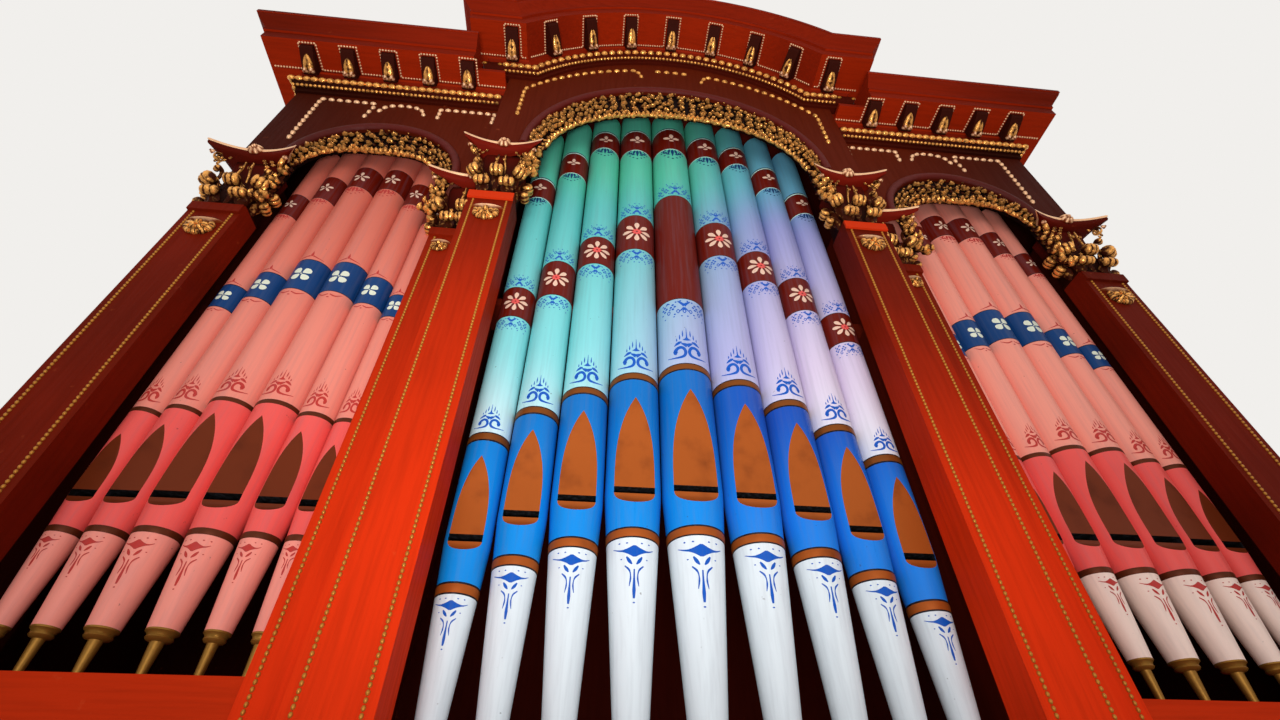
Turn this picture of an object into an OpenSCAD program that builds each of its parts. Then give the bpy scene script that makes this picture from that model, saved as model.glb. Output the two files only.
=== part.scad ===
// Church pipe organ case with three flats of speaking pipes, millimetres.
// The origin is the middle of the base. X runs to the right, Y towards the back, Z up.
// Depths written as "d" are measured forward from the plane that the pipe fronts touch.

/* [Overall] */
// Width of the opening that holds the middle flat of pipes
centre_open_w = 1680; // [1640:10:1900]
// Width of each opening that holds a side flat
side_open_w = 830; // [820:10:1000]
// Distance from the pipe fronts to the back of the case
case_back = 1250; // [900:10:1800]
// Height of the plinth
plinth_h = 140; // [80:10:250]
// Height of the impost, on which pilasters and middle pipes stand
impost_z = 1600; // [1200:10:2000]
// Height of the toe board under the side flats
side_toe_z = 2000; // [2000:10:2100]
// Thickness of the case boards
board_t = 30; // [20:1:45]

/* [Pilasters] */
// Width of the two large pilasters beside the middle opening
inner_pil_w = 220; // [180:5:260]
// Width of the narrow pilasters set back against them
half_pil_w = 140; // [100:5:180]
// Width of the outer pilasters
outer_pil_w = 225; // [180:5:260]
// How far the large pilasters stand forward of the pipe fronts
inner_face = 130; // [110:5:150]
// How far the narrow pilasters stand forward
half_face = 60; // [40:5:80]
// How far the outer pilasters stand forward
outer_face = 100; // [80:5:120]
// Height of the top of the large shafts
inner_neck_z = 4155; // [4000:5:4300]
// Height of the top of the small shafts
small_neck_z = 3920; // [3800:5:4000]
// Height of a capital
capital_h = 415; // [380:5:440]
// How far a capital's abacus stands out on each side
abacus_out = 95; // [70:5:105]

/* [Arches and cornices] */
// Rise of the middle arch's springing above its capitals
centre_stilt = 65; // [40:5:100]
// Height of the side cornice's underside
side_soffit_z = 5313; // [5250:1:5400]
// Height of the middle cornice's underside at its flat ends
end_soffit_z = 5680; // [5640:1:5750]
// How much higher the middle cornice's underside is at the crown
crown_rise = 460; // [400:5:520]
// Half the width of the middle cornice's arched stretch
crown_half_w = 970; // [900:5:1000]
// How far the side cornice's fascia stands forward
side_fascia = 322; // [300:1:380]
// How far the middle cornice's fascia stands forward
centre_fascia = 414; // [380:1:450]
// Height of the fascia
fascia_h = 75; // [65:1:100]
// Outward reach of the top moulding
cyma_w = 60; // [40:1:80]
// Height of the top moulding
cyma_h = 90; // [80:1:140]
// Height of the beaded course under the cornices
course_h = 105; // [90:5:120]
// Height of the hollow between that course and the underside
bed_h = 110; // [100:5:130]
// Thickness of the carved pipe shades
shade_t = 45; // [30:1:60]
// How far the middle pipe shade hangs below the top of its arch
centre_shade_drop = 320; // [260:5:360]
// How far each side pipe shade hangs below the top of its arch
side_shade_drop = 235; // [190:5:260]
// How far the middle section's beaded course runs on past its wall at each end
ear_w = 180; // [140:5:200]
// How far the side cornices' undersides reach forward below that end
side_ledge = 245; // [225:5:280]

/* [Pipes] */
// Diameter of the middle pipe
centre_dia = 222; // [200:1:226]
// Each pipe's diameter as a share of its neighbour nearer the middle
centre_step = 0.91; // [0.88:0.005:0.915]
// Clear space between the middle flat's pipes
centre_gap = 5; // [4:0.5:8]
// Diameter of the two largest side pipes
side_dia = 156; // [140:1:158]
// Each side pipe's diameter as a share of its larger neighbour
side_step = 0.833; // [0.8:0.001:0.84]
// Clear space between the side flats' pipes
side_gap = 4; // [3:0.5:6]
// Thickness of the pipe metal
pipe_wall = 3; // [2:0.5:4]
// Height of the middle pipe's mouth
centre_mouth_z = 2645; // [2600:5:2700]
// How much lower the outermost middle-flat mouths are
mouth_drop = 205; // [150:5:240]
// Height of the side pipes' mouths
side_mouth_z = 2528; // [2500:1:2600]

/* [Hidden] */
$fn = 96;
eps = 0.01;
far = 9000;

// Places across the front, as distances from the middle
x_open = centre_open_w / 2;
x_half = x_open + inner_pil_w;
x_side = x_half + half_pil_w;
x_outer = x_side + side_open_w;
x_end = x_outer + outer_pil_w;
side_mid = (x_side + x_outer) / 2;
side_r = side_open_w / 2;

// Places from front to back
cornice_front = centre_fascia + cyma_w + 12;
total_depth = cornice_front + case_back;
pipe_y = cornice_front - total_depth / 2;
post_front = 20;
post_back = centre_dia + 2 * board_t;
chest_back = post_back + 50;
function fy(d) = pipe_y - d;

// Heights
inner_cap_top = inner_neck_z + capital_h;
small_cap_top = small_neck_z + capital_h;
centre_spring = inner_cap_top + centre_stilt;
centre_face = inner_face + 20;
cornice_h = fascia_h + 15 + cyma_h + 25;
side_top = side_soffit_z + cornice_h;
side_course_z = side_soffit_z - bed_h - course_h;
crown_r = (crown_half_w * crown_half_w + crown_rise * crown_rise) / (2 * crown_rise);
crown_z = end_soffit_z + crown_rise - crown_r;
lip_share = 0.71;
mouth_h = 24;
ring_h = 22;
ring_drop = 152;
slab_h = 38;
inner_slab_z = inner_cap_top - slab_h;
small_slab_z = small_cap_top - slab_h;
x_ear = x_half + ear_w;
roof_z = side_top - 60;
course_low = end_soffit_z - bed_h - course_h;
impost_h = 100;
impost_low = impost_z - impost_h;
centre_rack_z = (centre_mouth_z + inner_cap_top) / 2;
side_rack_z = (side_mouth_z + small_cap_top) / 2;

// A block from corner to corner, with its depth given as forward distances
module block(x0, x1, d0, d1, z0, z1)
    translate([x0, fy(d1), z0]) cube([x1 - x0, d1 - d0, z1 - z0]);

// A flat outline in (d, z) run along X
module along_x(x0, x1)
    translate([x0, pipe_y, 0]) rotate([90, 0, 90]) linear_extrude(x1 - x0) mirror([1, 0]) children();

// A flat outline in (x, z) run from one depth to another
module along_y(d0, d1)
    translate([0, fy(d0), 0]) rotate([90, 0, 0]) linear_extrude(d1 - d0) children();

// One side and its mirror image
module both() {
    children();
    mirror([1, 0, 0]) children();
}
module on_left(left) mirror([left ? 1 : 0, 0, 0]) children();

// Points of a smooth double curve
function ogee(x0, z0, w, h, n = 8) =
    [for (i = [0:n]) [x0 + w * (1 - cos(180 * i / n)) / 2, z0 + h * i / n]];

// Outline of a cornice above its underside, in (d, height above the underside)
function cornice_points(fascia) = concat(
    [[-far, 0], [fascia, 0], [fascia, fascia_h], [fascia + 12, fascia_h], [fascia + 12, fascia_h + 15]],
    ogee(fascia + 12, fascia_h + 15, cyma_w - 5, cyma_h),
    [[fascia + 12 + cyma_w, fascia_h + 15 + cyma_h], [fascia + 12 + cyma_w, cornice_h],
     [-far, cornice_h]]
);

// Outline of the beaded course, a step and a quarter round
function course_points(face) = concat(
    [[face - board_t, -bed_h - course_h], [face + 14, -bed_h - course_h],
     [face + 14, -bed_h - course_h * 0.62]],
    [for (i = [0:6])
        [face + 18 + (course_out - 18) * sin(15 * i), -bed_h - course_h * (0.62 - 0.5 * (1 - cos(15 * i)))]],
    [[face + course_out, -bed_h], [face - board_t, -bed_h]]
);

// Outline of the hollow bed between the course and the cornice's underside
function bed_points(face, out) = concat(
    [[face - board_t, -bed_h], [face + 10, -bed_h]],
    [for (i = [0:6]) [face + 10 + out * (1 - cos(15 * i)), -bed_h + (bed_h - 20) * sin(15 * i)]],
    [[face + 10 + out, 0], [face - board_t, 0]]
);

// Where the arched and the flat stretch of a moulding meet
function mitre_x(t) = sqrt(pow(crown_r + t, 2) - pow(end_soffit_z + t - crown_z, 2));
mitre_steps = [-230, -110, 0, 80, 160, 245];

module arch_wedge(big = 800)
    along_y(-far, far)
        polygon(concat(
            [for (t = mitre_steps) [mitre_x(t), end_soffit_z + t]],
            [[mitre_x(245), end_soffit_z + 245 + big], [-mitre_x(245), end_soffit_z + 245 + big]],
            [for (i = [len(mitre_steps) - 1:-1:0])
                [-mitre_x(mitre_steps[i]), end_soffit_z + mitre_steps[i]]]
        ));

// A moulding of the middle section: flat at both ends and arched between
module centre_run(points, x_stop) {
    intersection() {
        translate([0, pipe_y, crown_z]) rotate([90, 0, 0]) rotate_extrude(angle = 180, $fn = 180)
            polygon([for (p = points) [crown_r + p[1], p[0]]]);
        arch_wedge();
        along_y(-far, far) translate([-x_stop, 0]) square([2 * x_stop, far]);
    }
    difference() {
        along_x(-x_stop, x_stop) polygon([for (p = points) [p[0], end_soffit_z + p[1]]]);
        arch_wedge();
    }
}

// The middle cornice's outline: solid in front and a plain board behind
function hood_points(bed, fascia, back) = concat(
    [[back, cornice_h - board_t], [bed - board_t, cornice_h - board_t], [bed - board_t, 0]],
    [for (p = cornice_points(fascia)) if (p[0] > 0) p],
    [[back, cornice_h]]
);

plinth_out = 30;
plinth_board = 60;
module plinth()
    color("#5a1a0c") difference() {
        block(-x_end - plinth_out, x_end + plinth_out, -case_back, outer_face + plinth_board, 0, plinth_h);
        block(-x_end + plinth_board, x_end - plinth_board, -case_back + plinth_board, outer_face - 40,
              -1, plinth_h - board_t);
    }

// The pedestals stand this far forward of the lower front's frame
pedestal_out = 60;
module pedestal(x0, x1, face) block(x0, x1, 0, face, plinth_h, impost_low);

module pedestals()
    color("#a02a10") both() {
        difference() {
            pedestal(x_open, x_side, pedestal_out);
            block(x_open + board_t, x_side - board_t, pedestal_out - 20, pedestal_out + 1,
                  plinth_h + stile_w, impost_low - stile_w);
        }
        pedestal(x_outer, x_end, pedestal_out - 10);
    }

// A framed board with raised panels in its sinkings
rail_w = 90;
panel_sink = 14;
panel_edge = 50;
module panelled(x0, x1, z0, z1, panels) {
    pitch = (x1 - x0) / panels;
    difference() {
        block(x0, x1, 0, board_t, z0, z1);
        for (i = [0:panels - 1])
            panel_field(x0 + i * pitch, pitch, board_t - panel_sink, board_t + 1, z0, z1, 0);
    }
    for (i = [0:panels - 1])
        panel_field(x0 + i * pitch, pitch, board_t - panel_sink - 1, board_t - 4, z0, z1, panel_edge);
}
module panel_field(x, pitch, d0, d1, z0, z1, inset)
    block(x + rail_w + inset, x + pitch - rail_w - inset, d0, d1, z0 + rail_w + inset, z1 - rail_w - inset);

module lower_front_side(left)
    color("#b03012") on_left(left) panelled(x_side, x_outer, plinth_h, impost_low, 1);

module lower_front_centre()
    color("#b03012") panelled(-x_open, x_open, plinth_h, impost_low, 2);

// The side walls' frames and the panels sunk between them
stile_w = 100;
panel_w = (case_back - 3 * stile_w) / 2;

module side_panels(z0, z1)
    for (i = [0:1]) {
        back = -case_back + stile_w + i * (panel_w + stile_w);
        block(x_end - panel_sink, x_end + 1, back, back + panel_w, z0, z1);
    }

module side_wall(left)
    color("#7a1f0e") on_left(left) difference() {
        union() {
            block(x_end - board_t, x_end, -case_back + board_t, -post_front, plinth_h, side_course_z);
            block(x_end - board_t, x_end, -post_front - eps, outer_face - board_t,
                  small_cap_top, side_course_z);
        }
        side_panels(plinth_h + stile_w, impost_low - stile_w);
        side_panels(impost_z + stile_w, small_cap_top);
    }

module back_board(x, z0, z1) block(-x, x, -case_back, -case_back + board_t, z0, z1);

module back_wall()
    color("#6a2212") {
        back_board(x_end, plinth_h, side_course_z);
        back_board(x_end - board_t, side_course_z - eps, roof_z);
        back_board(x_half, roof_z - eps, end_soffit_z);
    }

// Outline of the impost, in (d, z) measured from the boards behind it
impost_in = 20;
impost_out = 75;
impost_points = concat(
    [[-far, impost_low], [impost_in, impost_low]],
    ogee(impost_in, impost_low, impost_out - impost_in - 10, impost_h * 0.6),
    [[impost_out, impost_z - impost_h * 0.4], [impost_out, impost_z], [-far, impost_z]]
);

module both_sides_limit()
    along_y(-far, far) mirrored_limit() translate([x_end, 0]) polygon(impost_points);

module impost()
    color("#c23614") difference() {
        intersection() {
            translate([0, -outer_face, 0]) along_x(-far, far) polygon(impost_points);
            both_sides_limit();
        }
        block(-x_end, x_end, -far, -post_front, 0, far);
        block(-far, far, -far, -case_back, 0, far);
    }

// Keeps what lies inside an outline and inside its mirror image
module mirrored_limit()
    intersection() {
        children();
        mirror([1, 0]) children();
    }

module chest_floor()
    color("#7a1f0e")
        block(-x_end + board_t, x_end - board_t, -case_back + board_t, -post_front, impost_z - 40, impost_z);

module side_chest(left)
    color("#c23614") on_left(left) difference() {
        block(x_side, x_outer, -chest_back, half_face - 15, impost_z, side_toe_z);
        block(x_side + board_t, x_outer - board_t, -chest_back + board_t, half_face - 15 - board_t,
              impost_z - 1, side_toe_z - board_t);
    }

// Half widths and places of the pipes, worked outward from the middle
function centre_d(i) = centre_dia * pow(centre_step, i);
function centre_x(i) = i == 0 ? 0 : centre_x(i - 1) + (centre_d(i - 1) + centre_d(i)) / 2 + centre_gap;
function side_d(i) = side_dia * pow(side_step, i);
function side_x(i) = i == 0 ? (side_d(0) + side_gap) / 2
    : side_x(i - 1) + (side_d(i - 1) + side_d(i)) / 2 + side_gap;
function mouth_z(i) = centre_mouth_z - mouth_drop * pow(i / 4, 2);
centre_axis = -centre_dia / 2;
side_axis = -side_dia / 2;

// The outside of a pipe, or with a wall given its inside, as one turned form pressed flat at the mouth
module pipe_form(dia, toe, mouth, top, ferrule, ferrule_dia, wall) {
    r = dia / 2;
    ring = mouth - ring_drop;
    half_lip = dia * lip_share / 2;
    dent = r - sqrt(r * r - half_lip * half_lip);
    rise = dia * 1.88;
    difference() {
        rotate_extrude() polygon([
            [0, toe - (wall > 0 ? 1 : 0)],
            [13 - wall, toe - (wall > 0 ? 1 : 0)],
            [ferrule_dia * 0.34 - wall, ferrule - 6 + wall],
            [ferrule_dia / 2 + 2 - wall, ferrule - 6 + wall], [ferrule_dia / 2 + 2 - wall, ferrule + 6],
            [ferrule_dia / 2 - wall, ferrule + 6],
            [r * 0.88 - wall, ring - ring_h], [r - wall, ring], [r - wall, top + (wall > 0 ? 1 : 0)],
            [0, top + (wall > 0 ? 1 : 0)]
        ]);
        pressed(r, dent, mouth, rise, wall);
    }
}

// The two flats of the mouth: a long one that narrows upward and a short one below
module pressed(r, dent, mouth, rise, wall)
    translate([0, 0, mouth]) rotate([90, 0, -90]) translate([0, 0, -r * 1.1]) linear_extrude(r * 2.2)
        polygon([
            [r - wall + 0.8, rise], [r + 5, rise], [r + 5, -rise / 6], [r - wall + 0.8, -rise / 6],
            [r - dent - wall, 0]
        ]);

module pipe(dia, toe, mouth, top, ferrule, ferrule_dia)
    difference() {
        pipe_form(dia, toe, mouth, top, ferrule, ferrule_dia, 0);
        pipe_form(dia, toe, mouth, top, ferrule, ferrule_dia, pipe_wall);
        translate([-dia * lip_share / 2 + pipe_wall, -dia, mouth - mouth_h / 2])
            cube([dia * lip_share - 2 * pipe_wall, dia, mouth_h]);
    }

module centre_flat_pipes()
    color("#cfd8f0") for (i = [-4:4])
        translate([sign(i) * centre_x(abs(i)), fy(centre_axis), 0])
            pipe(centre_d(abs(i)), impost_z, mouth_z(abs(i)), centre_pipe_top(abs(i)),
                 impost_z + 140, centre_d(abs(i)) * 0.38);

// The pipe tops follow a wider and lower circle than the arch, so that the shades hide them
centre_top_widen = 160;
centre_top_sink = 105;
side_top_widen = 105;
side_top_sink = 35;
function centre_pipe_top(i) = centre_spring - centre_top_sink
    + sqrt(pow(x_open + centre_top_widen, 2) - pow(centre_x(i), 2));
function side_pipe_top(i) = small_cap_top - side_top_sink
    + sqrt(pow(side_r + side_top_widen, 2) - pow(side_x(i), 2));

module flat_pipes(left)
    color("#e9a598") on_left(left) for (i = [0:2]) for (s = [-1, 1])
        translate([side_mid + s * side_x(i), fy(side_axis), 0])
            pipe(side_d(i), side_toe_z, side_mouth_z, side_pipe_top(i), side_toe_z + 133, side_d(i) * 0.53);

module rack_post(x0, x1, top) block(x0, x1, -post_back, -post_front, impost_z, top);

rack_t = 40;
module rack_board(x0, x1, z) block(x0, x1, -post_back, -post_back + 170, z, z + rack_t);

// The hole that a rack board has for one pipe
module rack_hole(x, axis, dia, z)
    translate([x, fy(axis), z - rack_t]) cylinder(d = dia + 0.6, h = 3 * rack_t);

// Posts behind the pilasters, joined by boards cut out round the pipes
module pipe_racks()
    color("#7a1f0e") difference() {
        union() {
            rack_board(-x_open - 70, x_open + 70, centre_rack_z);
            both() {
                rack_post(x_open + 60, x_open + 120, small_cap_top);
                rack_post(x_outer + 60, x_outer + 120, small_cap_top);
                rack_board(x_open + 110, x_outer + 70, side_rack_z);
            }
        }
        for (i = [-4:4])
            rack_hole(sign(i) * centre_x(abs(i)), centre_axis, centre_d(abs(i)), centre_rack_z);
        both() for (i = [0:2]) for (s = [-1, 1])
            rack_hole(side_mid + s * side_x(i), side_axis, side_d(i), side_rack_z);
    }

// A flat shaft with a stepped base and a roll under its capital
module pilaster(x0, x1, back, face, top) {
    block(x0, x1, back, face, impost_z, top);
    block(x0, x1, face - eps, face + 22, impost_z, impost_z + 120);
    block(x0, x1, face - eps, face + 12, impost_z + 120, impost_z + 160);
    block(x0, x1, face - eps, face + 14, top - 62, top - 8);
}

module inner_pilaster(left)
    color("#c23614") on_left(left) pilaster(x_open, x_half, -post_front, inner_face, inner_neck_z);
module half_pilaster(left)
    color("#b03012") on_left(left) pilaster(x_half, x_side, -post_front, half_face, small_neck_z);
module outer_pilaster(left)
    color("#a02a10") on_left(left) pilaster(x_outer, x_end, -post_front, outer_face, small_neck_z);

// A leaf that leans out and curls over at its tip
module leaf(w, h, out)
    intersection() {
        translate([-w / 2, 0, 0]) rotate([90, 0, 90]) linear_extrude(w) mirror([1, 0]) union() {
            square([16, h - out * 0.5]);
            translate([out * 0.5, h - out * 0.5]) circle(r = out * 0.5, $fn = 48);
        }
        rotate([90, 0, 0]) translate([0, 0, -1]) linear_extrude(out + 3) union() {
            translate([-w * 0.36, 0]) square([w * 0.72, h * 0.7]);
            translate([0, h * 0.62]) circle(d = w, $fn = 48);
        }
    }

module abacus(x0, x1, back, face, z) {
    w = x1 - x0 + 2 * abacus_out;
    mid = (x0 + x1) / 2;
    sweep = w * 1.05;
    dip = abacus_out * 0.5;
    translate([0, 0, z]) linear_extrude(slab_h) difference() {
        translate([mid - w / 2, fy(face + abacus_out)]) square([w, face + abacus_out - back]);
        translate([mid, fy(face + abacus_out) - sqrt(sweep * sweep - w * w / 5) + dip * 0.4])
            circle(r = sweep);
    }
}

// Keeps a capital's overhang in front of the boards beside it
module trimmed(x0, x1, left_d, right_d)
    difference() {
        union() children();
        block(-far, x0, -far, left_d, 0, far);
        block(x1, far, -far, right_d, 0, far);
    }

module capital(x0, x1, back, face, z, half = false) {
    mid = (x0 + x1) / 2;
    w = x1 - x0;
    body = capital_h - slab_h;
    volute_r = abacus_out * 0.46;
    volute_out = abacus_out * 0.42;
    block(x0, x1, back, face, z, z + body);
    for (s = half ? [1] : [-1, 1]) {
        translate([mid + s * (w / 2 + volute_out), fy(face + volute_out), z + body - volute_r * 0.9])
            rotate([90, 0, s * 45]) cylinder(r = volute_r, h = volute_r * 0.8, center = true);
    }
    for (i = [-1:1])
        translate([mid + i * w * 0.36, fy(face), z + body * 0.4])
            leaf(w * 0.28, body * 0.34, abacus_out * 0.72);
    for (i = [-1, 1])
        translate([mid + i * w * 0.24, fy(face), z]) leaf(w * 0.36, body * 0.36, abacus_out * 0.6);
}

module inner_capital(left)
    color("#d8a032") on_left(left) trimmed(x_open, x_half, centre_face - board_t, outer_face) {
        capital(x_open, x_half, -post_front, inner_face, inner_neck_z);
        abacus(x_open, x_half, 10, inner_face, inner_slab_z);
    }
module half_capital(left)
    color("#d8a032") on_left(left) trimmed(x_half, x_side, far, outer_face - board_t) {
        capital(x_half, x_side, -post_front, half_face, small_neck_z, true);
        abacus(x_half - half_pil_w, x_side, 10, half_face, small_slab_z);
    }
module outer_capital(left)
    color("#d8a032") on_left(left) trimmed(x_outer, x_end, outer_face - board_t, -post_front) {
        capital(x_outer, x_end, -post_front, outer_face, small_neck_z);
        abacus(x_outer, x_end, 10, outer_face, small_slab_z);
    }

// A shell over a cluster of leaves, hung on a shaft
drop_down = 110;
module drop(x, face, z, w)
    translate([x, fy(face), z]) {
        rotate([90, 0, 0]) cylinder(d = w * 0.7, h = 18);
        translate([0, 0, -w * 0.5]) rotate([90, 0, 0]) cylinder(d = w, h = 26);
        translate([0, 0, -w * 1.05]) rotate([90, 0, 0]) cylinder(d = w * 0.5, h = 20);
    }

module pilaster_drops()
    color("#e0b040") both() {
        drop((x_open + x_half) / 2, inner_face, inner_neck_z - drop_down, inner_pil_w / 2);
        drop((x_half + x_side) / 2, half_face, small_neck_z - drop_down, half_pil_w * 0.57);
        drop((x_outer + x_end) / 2, outer_face, small_neck_z - drop_down, outer_pil_w / 2);
    }

module spandrel_side(left)
    color("#8a2410") on_left(left) along_y(outer_face - board_t, outer_face) difference() {
        translate([x_half, small_cap_top]) square([x_end - x_half, side_course_z - small_cap_top]);
        translate([side_mid, small_cap_top]) circle(r = side_r);
    }

module spandrel_centre()
    color("#8a2410") along_y(centre_face - board_t, centre_face) difference() {
        intersection() {
            union() {
                translate([-x_half, inner_cap_top]) square([2 * x_half, course_low - inner_cap_top]);
                translate([0, crown_z]) circle(r = crown_r - bed_h - course_h, $fn = 180);
            }
            translate([-x_half, inner_cap_top]) square([2 * x_half, far]);
        }
        translate([0, centre_spring]) circle(r = x_open);
        translate([-x_open, inner_cap_top - 1]) square([2 * x_open, centre_stilt + 1]);
    }

// A half-round roll on the face of an arch
module arch_roll(r, z, x, face)
    translate([x, fy(face), z]) rotate([90, 0, 0]) rotate_extrude(angle = 180)
        translate([r + 24, 0]) intersection() {
            circle(r = 22, $fn = 32);
            translate([-30, 0]) square([60, 30]);
        }

module archivolts()
    color("#c23614") {
        arch_roll(x_open, centre_spring, 0, centre_face);
        both() arch_roll(side_r, small_cap_top, side_mid, outer_face);
    }

// A moulding of the middle section that runs on past its wall and turns back at its end
course_out = 52;
module ear(points)
    both() intersection() {
        along_x(x_half - eps, far) ear_profile(points);
        along_y(-far, far) translate([x_ear - course_out - centre_face, 0]) ear_profile(points);
        block(0, far, outer_face - board_t, far, 0, far);
    }
module ear_profile(points)
    polygon([for (p = points) [p[0] < centre_face ? -far : p[0], end_soffit_z + p[1]]]);

module bead_course_centre()
    color("#d8a032") {
        centre_run(course_points(centre_face), x_half);
        ear(course_points(centre_face));
    }

module bead_course_side(left)
    color("#d8a032") on_left(left) difference() {
        intersection() {
            along_x(x_half, far) side_profile(course_points(outer_face), -far);
            along_y(-far, far) translate([x_end - outer_face, 0])
                side_profile(course_points(outer_face), -far);
        }
        block(0, x_end - board_t, -far, outer_face - board_t, 0, far);
        block(0, far, -far, -case_back, 0, far);
    }

// An outline raised to the side cornice's height and run back to a given depth
module side_profile(points, back)
    polygon([for (p = points) [p[0] < outer_face ? back : p[0], side_soffit_z + p[1]]]);

module cornice_side(left)
    color("#b03012") on_left(left) difference() {
        union() {
            intersection() {
                along_x(x_half, far) side_profile(bed_points(outer_face, 40), -far);
                along_y(-far, far) translate([x_end - outer_face, 0])
                    side_profile(bed_points(outer_face, 40), -far);
            }
            intersection() {
                along_x(x_half, far) side_profile(cornice_points(side_fascia), -far);
                along_y(-far, far) translate([x_end - outer_face, 0])
                    side_profile(cornice_points(side_fascia), -far);
            }
        }
        block(0, x_end - board_t, -far, outer_face - board_t, 0, far);
        block(0, far, -far, -case_back, 0, far);
        block(0, x_ear, centre_face - board_t, far, side_soffit_z + board_t, far);
        block(0, x_ear, side_ledge, far, 0, far);
        block(0, x_ear, -far, far, course_low, far);
    }

module cornice_centre()
    color("#c23614") intersection() {
        union() {
            centre_run(bed_points(centre_face, 40), x_half);
            ear(bed_points(centre_face, 40));
            centre_run(hood_points(centre_face, centre_fascia, -200), x_end);
        }
        along_y(-far, far) {
            translate([-x_ear, 0]) square([2 * x_ear, far]);
            mirrored_limit() translate([x_half - centre_face, 0])
                polygon([for (p = cornice_points(centre_fascia)) [p[0], end_soffit_z + p[1]]]);
        }
    }

// A bracket under the cornice, deeper at its back
bracket_w = 76;
module modillion(bed, fascia) {
    w = bracket_w;
    rotate([90, 0, 90]) translate([0, 0, -w / 2]) linear_extrude(w) mirror([1, 0])
        polygon(concat(
            [[bed, 0], [fascia, 0], [fascia, -26]],
            [for (i = [0:8]) [fascia - 8 - (fascia - bed - 8) * i / 8, -34 - 40 * sin(22.5 * i / 2)]]
        ));
}

module modillions_side(left)
    color("#5a1a0c") on_left(left) for (i = [0:4])
        translate([x_ear + bracket_w / 2 + i * (x_end - x_ear - bracket_w) / 4, pipe_y, side_soffit_z])
            modillion(outer_face + 50, side_fascia - 25);

module modillions_centre() {
    spread = asin(crown_half_w / crown_r) * 0.82;
    color("#5a1a0c") {
        for (i = [-3:3]) translate([0, pipe_y, crown_z]) rotate([0, i * spread / 3, 0])
            translate([0, 0, crown_r]) modillion(centre_face + 50, centre_fascia - 25);
        both() translate([x_half, pipe_y, end_soffit_z])
            modillion(centre_face + 50, centre_fascia - 25);
    }
}

module tower_sides()
    color("#7a1f0e") both()
        block(x_half - board_t, x_half, -case_back + board_t, centre_face - board_t,
              inner_cap_top, end_soffit_z);

module roof()
    color("#5a1a0c") {
        both() block(x_half, x_end - board_t, -case_back, outer_face - board_t, roof_z, roof_z + board_t);
        block(-x_half, x_half, -case_back, centre_face - board_t, end_soffit_z, end_soffit_z + board_t);
    }

// A band of leaves that follows the inside of an arch and hangs down at both ends
module shade_outline(r, z, reach, leg, leg_w) {
    steps = round(r / 52);
    difference() {
        union() {
            difference() {
                translate([0, z]) circle(r = r);
                translate([0, z - leg_w * 0.2]) circle(r = r - reach);
                translate([-r, z - r]) square([2 * r, r]);
            }
            for (s = [-1, 1])
                translate([s > 0 ? r - leg_w : -r, z - leg]) square([leg_w, leg + 1]);
            for (i = [0:steps])
                rotate_about(z, 180 * i / steps) translate([r - reach, 0]) circle(r = 40, $fn = 24);
        }
        for (i = [0:steps - 1]) rotate_about(z, 180 * (i + 0.5) / steps)
            translate([r - reach * 0.55, 0]) circle(r = 16, $fn = 16);
    }
}
module rotate_about(z, a) translate([0, z]) rotate(a) children();

module pipe_shade_side(left)
    color("#e0b040") on_left(left) along_y(outer_face - board_t - shade_t, outer_face - board_t)
        translate([side_mid, 0])
            shade_outline(side_r - 0.3, small_cap_top, side_shade_drop, capital_h * 0.87, inner_pil_w * 0.28);

module pipe_shade_centre()
    color("#e0b040") along_y(centre_face - board_t - shade_t, centre_face - board_t)
        shade_outline(x_open - 0.3, centre_spring, centre_shade_drop, capital_h * 0.8, inner_pil_w * 0.41);

plinth();
pedestals();
lower_front_side(true);  // lower_front_left
lower_front_centre();
lower_front_side(false);  // lower_front_right
side_wall(true);  // side_wall_left
side_wall(false);  // side_wall_right
back_wall();
impost();
chest_floor();
side_chest(true);  // side_chest_left
side_chest(false);  // side_chest_right
pipe_racks();
inner_pilaster(true);  // inner_pilaster_left
inner_pilaster(false);  // inner_pilaster_right
half_pilaster(true);  // half_pilaster_left
half_pilaster(false);  // half_pilaster_right
outer_pilaster(true);  // outer_pilaster_left
outer_pilaster(false);  // outer_pilaster_right
inner_capital(true);  // inner_capital_left
inner_capital(false);  // inner_capital_right
half_capital(true);  // half_capital_left
half_capital(false);  // half_capital_right
outer_capital(true);  // outer_capital_left
outer_capital(false);  // outer_capital_right
pilaster_drops();
spandrel_side(true);  // spandrel_left
spandrel_centre();
spandrel_side(false);  // spandrel_right
archivolts();
bead_course_side(true);  // bead_course_left
bead_course_centre();
bead_course_side(false);  // bead_course_right
modillions_side(true);  // modillions_left
modillions_centre();
modillions_side(false);  // modillions_right
cornice_side(true);  // cornice_left
cornice_centre();
cornice_side(false);  // cornice_right
tower_sides();
roof();
pipe_shade_side(true);  // pipe_shade_left
pipe_shade_centre();
pipe_shade_side(false);  // pipe_shade_right
flat_pipes(true);  // left_flat_pipes
centre_flat_pipes();
flat_pipes(false);  // right_flat_pipes
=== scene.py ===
# %% [markdown]
# # A painted pipe organ in its carved case
# The real object is a tall church organ seen from its foot: red stained boards, gilded
# carving, and three flats of metal pipes painted with stencils. The joinery comes from the
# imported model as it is. This lesson adds the finishes, the painted pipes and the carving.

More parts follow.
